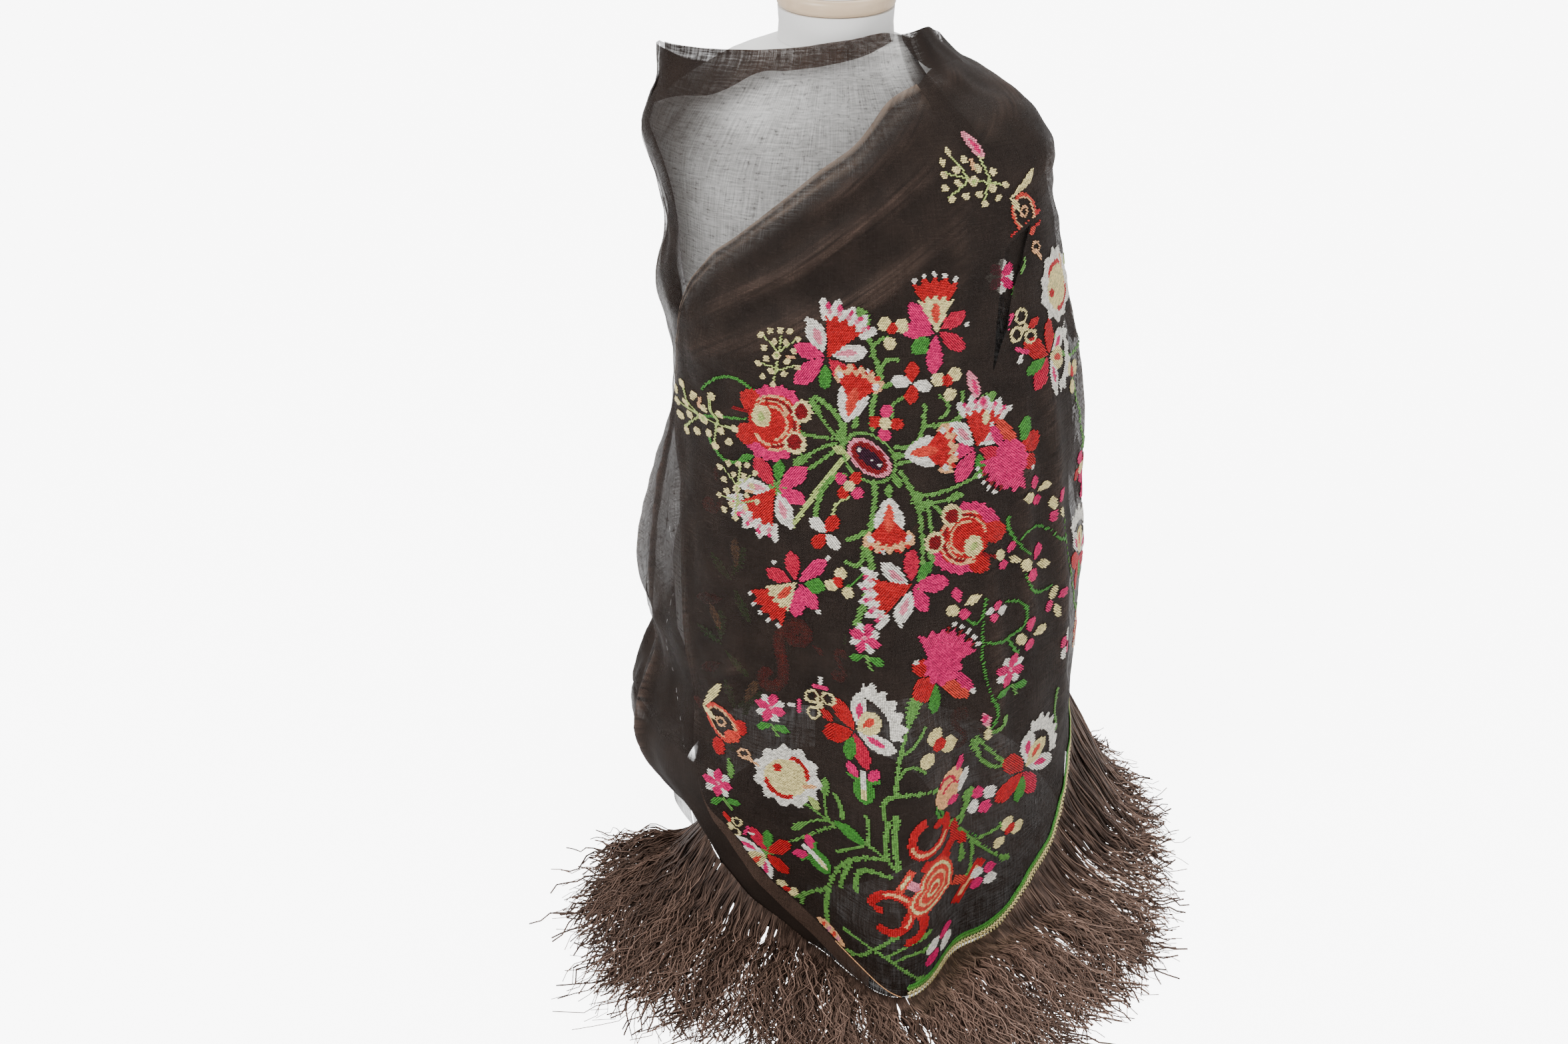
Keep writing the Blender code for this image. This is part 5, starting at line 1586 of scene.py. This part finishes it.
# How far a thread wanders aside, rises and curls, in metres, and between which lengths its waves are
CRIMP_WAVE = (0.026, 0.038)
TANGLE = 0.0034
TANGLE_WAVE = (0.026, 0.040)
SWAY = 0.012
SWAY_WAVE = (0.07, 0.14)
DRIFT = 0.009
DRIFT_WAVE = (0.08, 0.18)
RISE = 0.0018
RISE_WAVE = 0.031
CURL = 0.021
STRAY_CURL = 0.034
CURLED_BACK = 0.020
INNER_HEM = ((-84.0, 0.001), (-74.0, 0.030), (-60.0, 0.052), (-35.0, 0.050), (-15.0, 0.020), (-5.0, 0.001))

# Each bunch: its angles, threads to a tuft, crimp, how far its tufts stray, its lean, how much it
# is combed together, and its seed
Bunch = namedtuple("Bunch", "start end threads crimp stray lean gather seed")
BUNCHES = {
    "fringe_left": Bunch(-84.0, -36.1, 18, 0.0032, 8.0, 22.0, 0.40, 11),
    "fringe_front": Bunch(-35.9, 14.9, 17, 0.0028, 6.0, 2.0, 0.12, 12),
    "fringe_right": Bunch(15.1, 65.9, 17, 0.0026, 5.0, -3.0, 0.28, 13),
    "fringe_side": Bunch(66.1, 149.0, 9, 0.0028, 7.0, -4.0, 0.15, 14),
}


def fringe_base(angle):
    """Where a thread leaves the hem, where it would start on the table, and its hem's height."""
    outer = angle > POINT_ANGLE
    hem = np.where(outer, edge_height("outer_hem", angle), through(*np.array(INNER_HEM).T, angle))
    hem = np.maximum(hem, TABLE_GAP)
    on_outer = np.where(
        (angle > PANEL_END)[:, None],
        on_cloth("side_fold", angle, hem + 0.001, CLOTH),
        on_cloth("front_panel", angle, hem + 0.001, CLOTH),
    )
    start = np.where(outer[:, None], on_outer, on_cloth("inner_front", angle, hem, CLOTH))
    heights = np.linspace(0.0, 1.0, 5)[:, None] * np.maximum(hem, PILE[0][1])
    beside = wrap_radius(angle, heights)
    out = np.stack([np.sin(np.radians(angle)), -np.cos(np.radians(angle)), np.zeros(len(angle))], -1)
    normal = wrap_normal(angle, np.zeros(len(angle)))
    layer = np.where(outer, BORDER_LAYER, OUTER_LAYER)
    clear = normal * (layer + FRINGE_GAP)[:, None] + out * (beside.max(axis=0) - beside[0])[:, None]
    return start, wrap_point(angle, np.zeros(len(angle))) + clear, out, hem


def fringe_threads(bunch):
    """The points of every thread of a bunch, and each thread's tone."""
    random = np.random.default_rng(bunch.seed)
    fine = np.linspace(bunch.start, bunch.end, 1500)
    foot = wrap_point(fine, np.zeros(len(fine)))
    run = np.concatenate([[0.0], np.cumsum(np.linalg.norm(np.diff(foot, axis=0), axis=1))])
    tufts = np.interp(np.arange(0.5 * TUFT_STEP, run[-1], TUFT_STEP), run, fine)
    count = len(tufts) * bunch.threads

    def each(low, high):
        return random.uniform(low, high, count)[:, None]

    def each_tuft(low, high):
        return np.repeat(random.uniform(low, high, len(tufts)), bunch.threads)[:, None]

    under = each(0.0, 1.0) < UNDER_SHARE
    bound = np.clip(random.normal(0.0, 0.27, count), -0.5, 0.5) * TUFT_WIDTH
    in_tuft = np.where(under[:, 0], random.uniform(-0.5, 0.5, count) * TUFT_STEP, bound)
    angle = np.repeat(tufts, bunch.threads) + np.degrees(in_tuft / USUAL_RADIUS)
    angle = np.clip(angle, bunch.start, bunch.end)
    start, inner, out, hem = fringe_base(angle)
    hem = hem[:, None]
    side = np.stack([-out[:, 1], out[:, 0], np.zeros(count)], -1)
    reach = through(*np.array(FRINGE_REACH).T, angle)[:, None]
    length = reach * each_tuft(0.82, 1.06) * each(0.88, 1.02)
    stray = each(0.0, 1.0) < STRAY_SHARE
    length = np.where(stray, reach * STRAY_REACH, length)
    share = np.linspace(0.0, 1.0, THREAD_POINTS)[None, :] ** 1.10
    far = length * share
    loose = smooth_step(far / LOOSE_WITHIN)
    frizz = smooth_step((share - 0.30) / 0.5)
    locks = 6.0 * np.sin(0.9 * angle[:, None]) + 4.0 * np.sin(1.9 * angle[:, None] + bunch.seed)
    combed = -bunch.gather * (angle[:, None] - 0.5 * (bunch.start + bunch.end))
    heading = np.radians(bunch.lean + combed + locks + each_tuft(-bunch.stray, bunch.stray))
    heading = heading + random.normal(0.0, 0.06, count)[:, None]
    wave = each_tuft(*CRIMP_WAVE) * each(0.94, 1.06)
    phase = each_tuft(0.0, 2 * pi) + random.normal(0.0, 0.45, count)[:, None]
    other = each(0.0, 2 * pi)
    crimp = bunch.crimp * each(0.6, 1.3) * np.sin(2 * pi * far / wave + phase)
    tangle = TANGLE * each(0.2, 1.8) * np.sin(2 * pi * far / each(*TANGLE_WAVE) + other) * frizz
    sway = SWAY * each_tuft(-1.0, 1.0) * np.sin(pi * far / each_tuft(*SWAY_WAVE) + phase)
    drift = DRIFT * random.normal(0.0, 1.0, count)[:, None] * np.sin(pi * far / each(*DRIFT_WAVE) + other)
    curl = np.where(stray, STRAY_CURL, CURL) * random.normal(0.0, 1.0, count)[:, None] * share**3
    aside = far * heading + loose * (crimp + (drift + sway) * share) + tangle + curl
    back = CURLED_BACK * each(0.0, 1.0) ** 2 * smooth_step((share - 0.72) / 0.28)
    ahead = far - back
    level = np.where(under, each(0.0, 0.45), each(0.25, 1.0))
    pile = through(*np.array(PILE).T, np.clip(far / reach, 0.0, 1.0))
    rise = RISE * np.sin(2 * pi * far / wave + phase + 1.3)
    rise = rise + RISE * frizz * np.sin(2 * pi * far / RISE_WAVE + other)
    height = LOWEST_THREAD + loose * (level * (pile - 0.004) + np.abs(rise))
    steep = each(2.0, 6.0) + 60.0 * np.clip(0.06 - hem, 0.0, 1.0)
    fall = (hem + 0.001) * (1.0 - np.clip(far / reach, 0.0, 1.0)) ** steep
    height = np.hypot(height, fall)
    height[:, 0] = start[:, 2]
    settled = smooth_step(far / SETTLED_WITHIN)[..., None]
    flat = inner[:, None, :] * settled + start[:, None, :] * (1.0 - settled)
    points = flat + out[:, None, :] * ahead[..., None] + side[:, None, :] * aside[..., None]
    points[..., 2] = np.maximum(height, THREAD_RADIUS + 0.0001)
    # Each thread's tone is random, but the lowest threads are darker as painted shade beneath the others
    tone = np.where(each(0.0, 1.0) < 0.45, each(0.4, 1.0), each(0.1, 0.4))
    tone = np.where(under, each(0.0, 0.22), tone)
    # darker within four centimetres of the hem
    tone = tone * (0.45 + 0.55 * smooth_step(far / 0.04))
    # painted sheen that rises and falls along the crimp
    tone = np.clip(tone + 0.20 * np.sin(2 * pi * far / wave + phase), 0.0, 1.0)
    lower, upper = each(1.7, 2.9) * (1.0 - 0.42 * share), each(0.80, 1.25) * (1.0 - 0.20 * share)
    return points, tone, np.where(under, lower, upper)


def thread_tree():
    """A tree that makes each line a thread, by the thickness at its points."""
    tree, wires = new_maker("fringe_thread", {"Radius": THREAD_RADIUS})
    source = wires.add("NodeGroupInput").outputs
    lines = wires.add("GeometryNodeMeshToCurve", {"Mesh": source["Geometry"]})
    thick = wires.add("GeometryNodeInputNamedAttribute", {"Name": "thick"}, data_type="FLOAT").outputs[0]
    sized = wires.add("GeometryNodeSetCurveRadius", {"Curve": lines.outputs[0], "Radius": thick})
    section = wires.add("GeometryNodeCurvePrimitiveCircle", {"Resolution": 3, "Radius": source["Radius"]})
    tubes = wires.add(
        "GeometryNodeCurveToMesh",
        {"Curve": sized.outputs[0], "Profile Curve": section.outputs[0], "Fill Caps": True},
    )
    if "Scale" in tubes.inputs:
        tree.links.new(thick, tubes.inputs["Scale"])
    smooth = wires.add("GeometryNodeSetShadeSmooth", {0: tubes.outputs[0]})
    real = wires.add("GeometryNodeRealizeInstances", {0: smooth.outputs[0]})
    finished = wires.add("GeometryNodeSetMaterial", {"Geometry": real.outputs[0], "Material": FRINGE_SILK})
    wires.add("NodeGroupOutput", {0: finished.outputs[0]})
    return tree


def make_fringe(name, tree):
    """One bunch of the fringe, thread by thread."""
    points, tone, thick = fringe_threads(BUNCHES[name])
    count, along = points.shape[:2]
    first = np.arange(count * along).reshape(count, along)
    edges = np.stack([first[:, :-1].ravel(), first[:, 1:].ravel()], -1)
    mesh = bpy.data.meshes.new(name + "_lines")
    mesh.from_pydata(points.reshape(-1, 3).tolist(), edges.tolist(), [])
    set_points(mesh, "tone", tone)
    set_points(mesh, "thick", thick)
    piece = applied("threads_" + name, mesh, tree)
    return finish_piece(piece, "fringe", name)


# ---------------------------------------------------------------- the dress form

FormSection = namedtuple("FormSection", "height half_width half_depth")
FORM_ROWS = (
    FormSection(0.215, 0.146, 0.104),
    FormSection(0.250, 0.160, 0.114),
    FormSection(0.340, 0.163, 0.119),
    FormSection(0.420, 0.144, 0.108),
    FormSection(0.500, 0.122, 0.094),
    FormSection(0.580, 0.134, 0.104),
    FormSection(0.650, 0.146, 0.116),
    FormSection(0.720, 0.152, 0.108),
    FormSection(0.765, 0.164, 0.092),
    FormSection(0.792, 0.174, 0.080),
    FormSection(0.812, 0.1685, 0.072),
    FormSection(0.828, 0.1505, 0.064),
    FormSection(0.845, 0.1255, 0.058),
    FormSection(0.862, 0.0955, 0.0550),
    FormSection(0.874, 0.0535, 0.0535),
)
FORM_INSET = 0.0006
NECK_RADIUS = 0.0535
NECK_TOP = 0.9035
RING_RADIUS = 0.0545
RING_HEIGHT = 0.015
CAP_RADIUS = 0.049
CAP_HEIGHT = 0.013
FLANGE_RADIUS = 0.045
FLANGE_HEIGHT = 0.010
POST_RADIUS = 0.014
BASE_RADIUS = 0.120
BASE_HEIGHT = 0.020


def make_torso():
    """The padded torso, a smooth loft just inside its solid."""
    heights, widths, depths = np.array(FORM_ROWS).T
    levels = np.concatenate([np.linspace(heights[0], 0.78, 30), np.linspace(0.784, heights[-1], 20)])
    sides = 80
    turn = 2 * pi * np.arange(sides) / sides
    rings = []
    for level in levels:
        wide = min(np.interp(level, heights, widths), through(heights, widths, level)) - FORM_INSET
        deep = min(np.interp(level, heights, depths), through(heights, depths, level)) - FORM_INSET
        rings.append(np.stack([wide * np.sin(turn), -deep * np.cos(turn), np.full(sides, level)], -1))
    piece = mesh_object("torso_cover", np.concatenate(rings), loft_faces(len(rings), sides), JERSEY)
    piece.data.set_sharp_from_angle(angle=pi / 4)
    return finish_piece(piece, "jersey", "form_torso")


def rounded(radius, low, high, soft, steps=6):
    """The outline of a disc with softened edges, as (radius, height) pairs."""
    turns = np.linspace(0.0, pi / 2, steps)
    below = [(radius - soft + soft * sin(t), low + soft - soft * cos(t)) for t in turns]
    above = [(radius - soft + soft * cos(t), high - soft + soft * sin(t)) for t in turns]
    return below + above


def make_form():
    """The dress form's pieces, above the torso and below it."""
    make_torso()
    neck_base = FORM_ROWS[-1].height + SEAM_GAP
    waist = (NECK_RADIUS - 0.0010, 0.5 * (neck_base + NECK_TOP))
    neck = [(NECK_RADIUS, neck_base), waist, (NECK_RADIUS, NECK_TOP)]
    turned_piece("neck_cover", neck, JERSEY, "jersey", "form_neck")
    ring_low = NECK_TOP + SEAM_GAP
    ring_top = ring_low + RING_HEIGHT
    turned_piece("neck_ring", rounded(RING_RADIUS, ring_low, ring_top, 0.005), WOOD, "wood", "form_ring")
    cap_low = ring_top + SEAM_GAP
    cap = [(CAP_RADIUS * cos(t), cap_low + CAP_HEIGHT * sin(t)) for t in np.linspace(0.0, 0.49 * pi, 14)]
    turned_piece("cap_cover", cap, JERSEY, "jersey", "form_cap")
    torso_low = FORM_ROWS[0].height
    flange_low = torso_low - SEAM_GAP - FLANGE_HEIGHT
    flange = rounded(FLANGE_RADIUS, flange_low, torso_low - SEAM_GAP, 0.0015)
    turned_piece("flange_plate", flange, STEEL, "steel", "form_flange")
    post = rounded(POST_RADIUS, BASE_HEIGHT + SEAM_GAP, flange_low - SEAM_GAP, 0.0008)
    turned_piece("post_tube", post, STEEL, "steel", "form_post", 64)
    turned_piece("base_disc", rounded(BASE_RADIUS, 0.0, BASE_HEIGHT, 0.004), WOOD, "wood", "form_base", 128)


# ---------------------------------------------------------------- the studio

CAMERA_PLACE = (0.0, -1.97, 1.41)
CAMERA_TURN = (radians(62.2), 0.0, radians(1.38))
FLOOR_REACH = 6.0
BACKDROP_START = 1.6
BACKDROP_RISE = 3.0
SWEEP_BEND = 0.8
Lamp = namedtuple("Lamp", "name place aim size power")
LAMPS = (
    Lamp("key", (-1.4, -1.5, 2.3), (0.0, 0.0, 0.5), 1.0, 62.0),
    Lamp("fill", (1.9, -1.3, 1.4), (0.0, 0.0, 0.4), 1.6, 20.0),
    Lamp("back", (0.3, 1.2, 2.6), (0.0, 0.0, 0.4), 1.4, 30.0),
)
WORLD_STRENGTH = 1.0
SEEN_STRENGTH = 8.0
PAPER_GLOW = 7.0


def make_studio():
    """A white sweep to stand on, soft light from all round, and the photograph's camera."""
    turns = np.linspace(0.0, pi / 2, 16)
    bend = [(BACKDROP_START + SWEEP_BEND * sin(t), SWEEP_BEND - SWEEP_BEND * cos(t)) for t in turns]
    section = [(-FLOOR_REACH, 0.0)] + bend + [(bend[-1][0], BACKDROP_RISE)]
    points = [(x, y, z) for x in (-FLOOR_REACH, FLOOR_REACH) for y, z in section]
    count = len(section)
    faces = [(k, k + count, k + count + 1, k + 1) for k in range(count - 1)]
    paper, wires, shader = principled("white_paper", (0.93, 0.93, 0.935), 0.9)
    place = wires.add("ShaderNodeTexCoord").outputs["Object"]
    tooth = wires.noise(place, 400.0, 2.0)
    wires.join(wires.bump(tooth, 0.1, 0.0002), shader.inputs["Normal"])
    seen = wires.add("ShaderNodeLightPath").outputs["Is Camera Ray"]
    wires.join(wires.mix(seen, (0.0, 0.0, 0.0), (1.0, 1.0, 1.0)), shader.inputs["Emission Color"])
    shader.inputs["Emission Strength"].default_value = PAPER_GLOW
    mesh_object("studio_sweep", points, faces, paper)
    world = bpy.data.worlds.new("studio")
    world.use_nodes = True
    sky = Wires(world.node_tree)
    background = world.node_tree.nodes["Background"]
    background.inputs["Color"].default_value = (1.0, 1.0, 1.0, 1.0)
    seen = sky.add("ShaderNodeLightPath").outputs["Is Camera Ray"]
    strength = sky.math("MULTIPLY_ADD", seen, SEEN_STRENGTH - WORLD_STRENGTH, WORLD_STRENGTH)
    sky.join(strength, background.inputs["Strength"])
    bpy.context.scene.world = world
    for name, place, aim, size, power in LAMPS:
        lamp = bpy.data.lights.new(name, "AREA")
        lamp.shape, lamp.size, lamp.energy = "SQUARE", size, power
        made = bpy.data.objects.new(name, lamp)
        direction = np.array(aim) - np.array(place)
        turn = Vector(direction).to_track_quat("-Z", "Y")
        made.location, made.rotation_euler = place, turn.to_euler()
        bpy.context.scene.collection.objects.link(made)
    camera = bpy.data.cameras.new("camera")
    camera.lens, camera.sensor_width = 50.0, 36.0
    made = bpy.data.objects.new("camera", camera)
    made.location, made.rotation_euler = CAMERA_PLACE, CAMERA_TURN
    bpy.context.scene.collection.objects.link(made)
    bpy.context.scene.camera = made


def make_shawl():
    """The cloth, its flowers, its edging and its fringe."""
    pieces = {name: make_stretch(name) for name in STRETCHES}
    make_embroidery("front_petals", "front_panel", PLACES, STEMS, REDS, "front_panel")
    make_embroidery("front_lights", "front_panel", PLACES, STEMS, PALE_COLOURS, "front_panel")
    make_embroidery("front_stalks", "front_panel", PLACES, STEMS, GREENS, "front_panel")
    make_embroidery("side_flowers", "side_fold", PLACES, STEMS, COLOUR_NAMES, "side_fold")
    make_embroidery("shoulder_flowers", "shoulder_fold", PLACES, (), COLOUR_NAMES, "shoulder_fold")
    make_embroidery("inner_flowers", "inner_front", INNER_PLACES, (), COLOUR_NAMES, "inner_front")
    make_hem_edging()
    tree = thread_tree()
    for name in BUNCHES:
        make_fringe(name, tree)


make_studio()
make_form()
make_shawl()
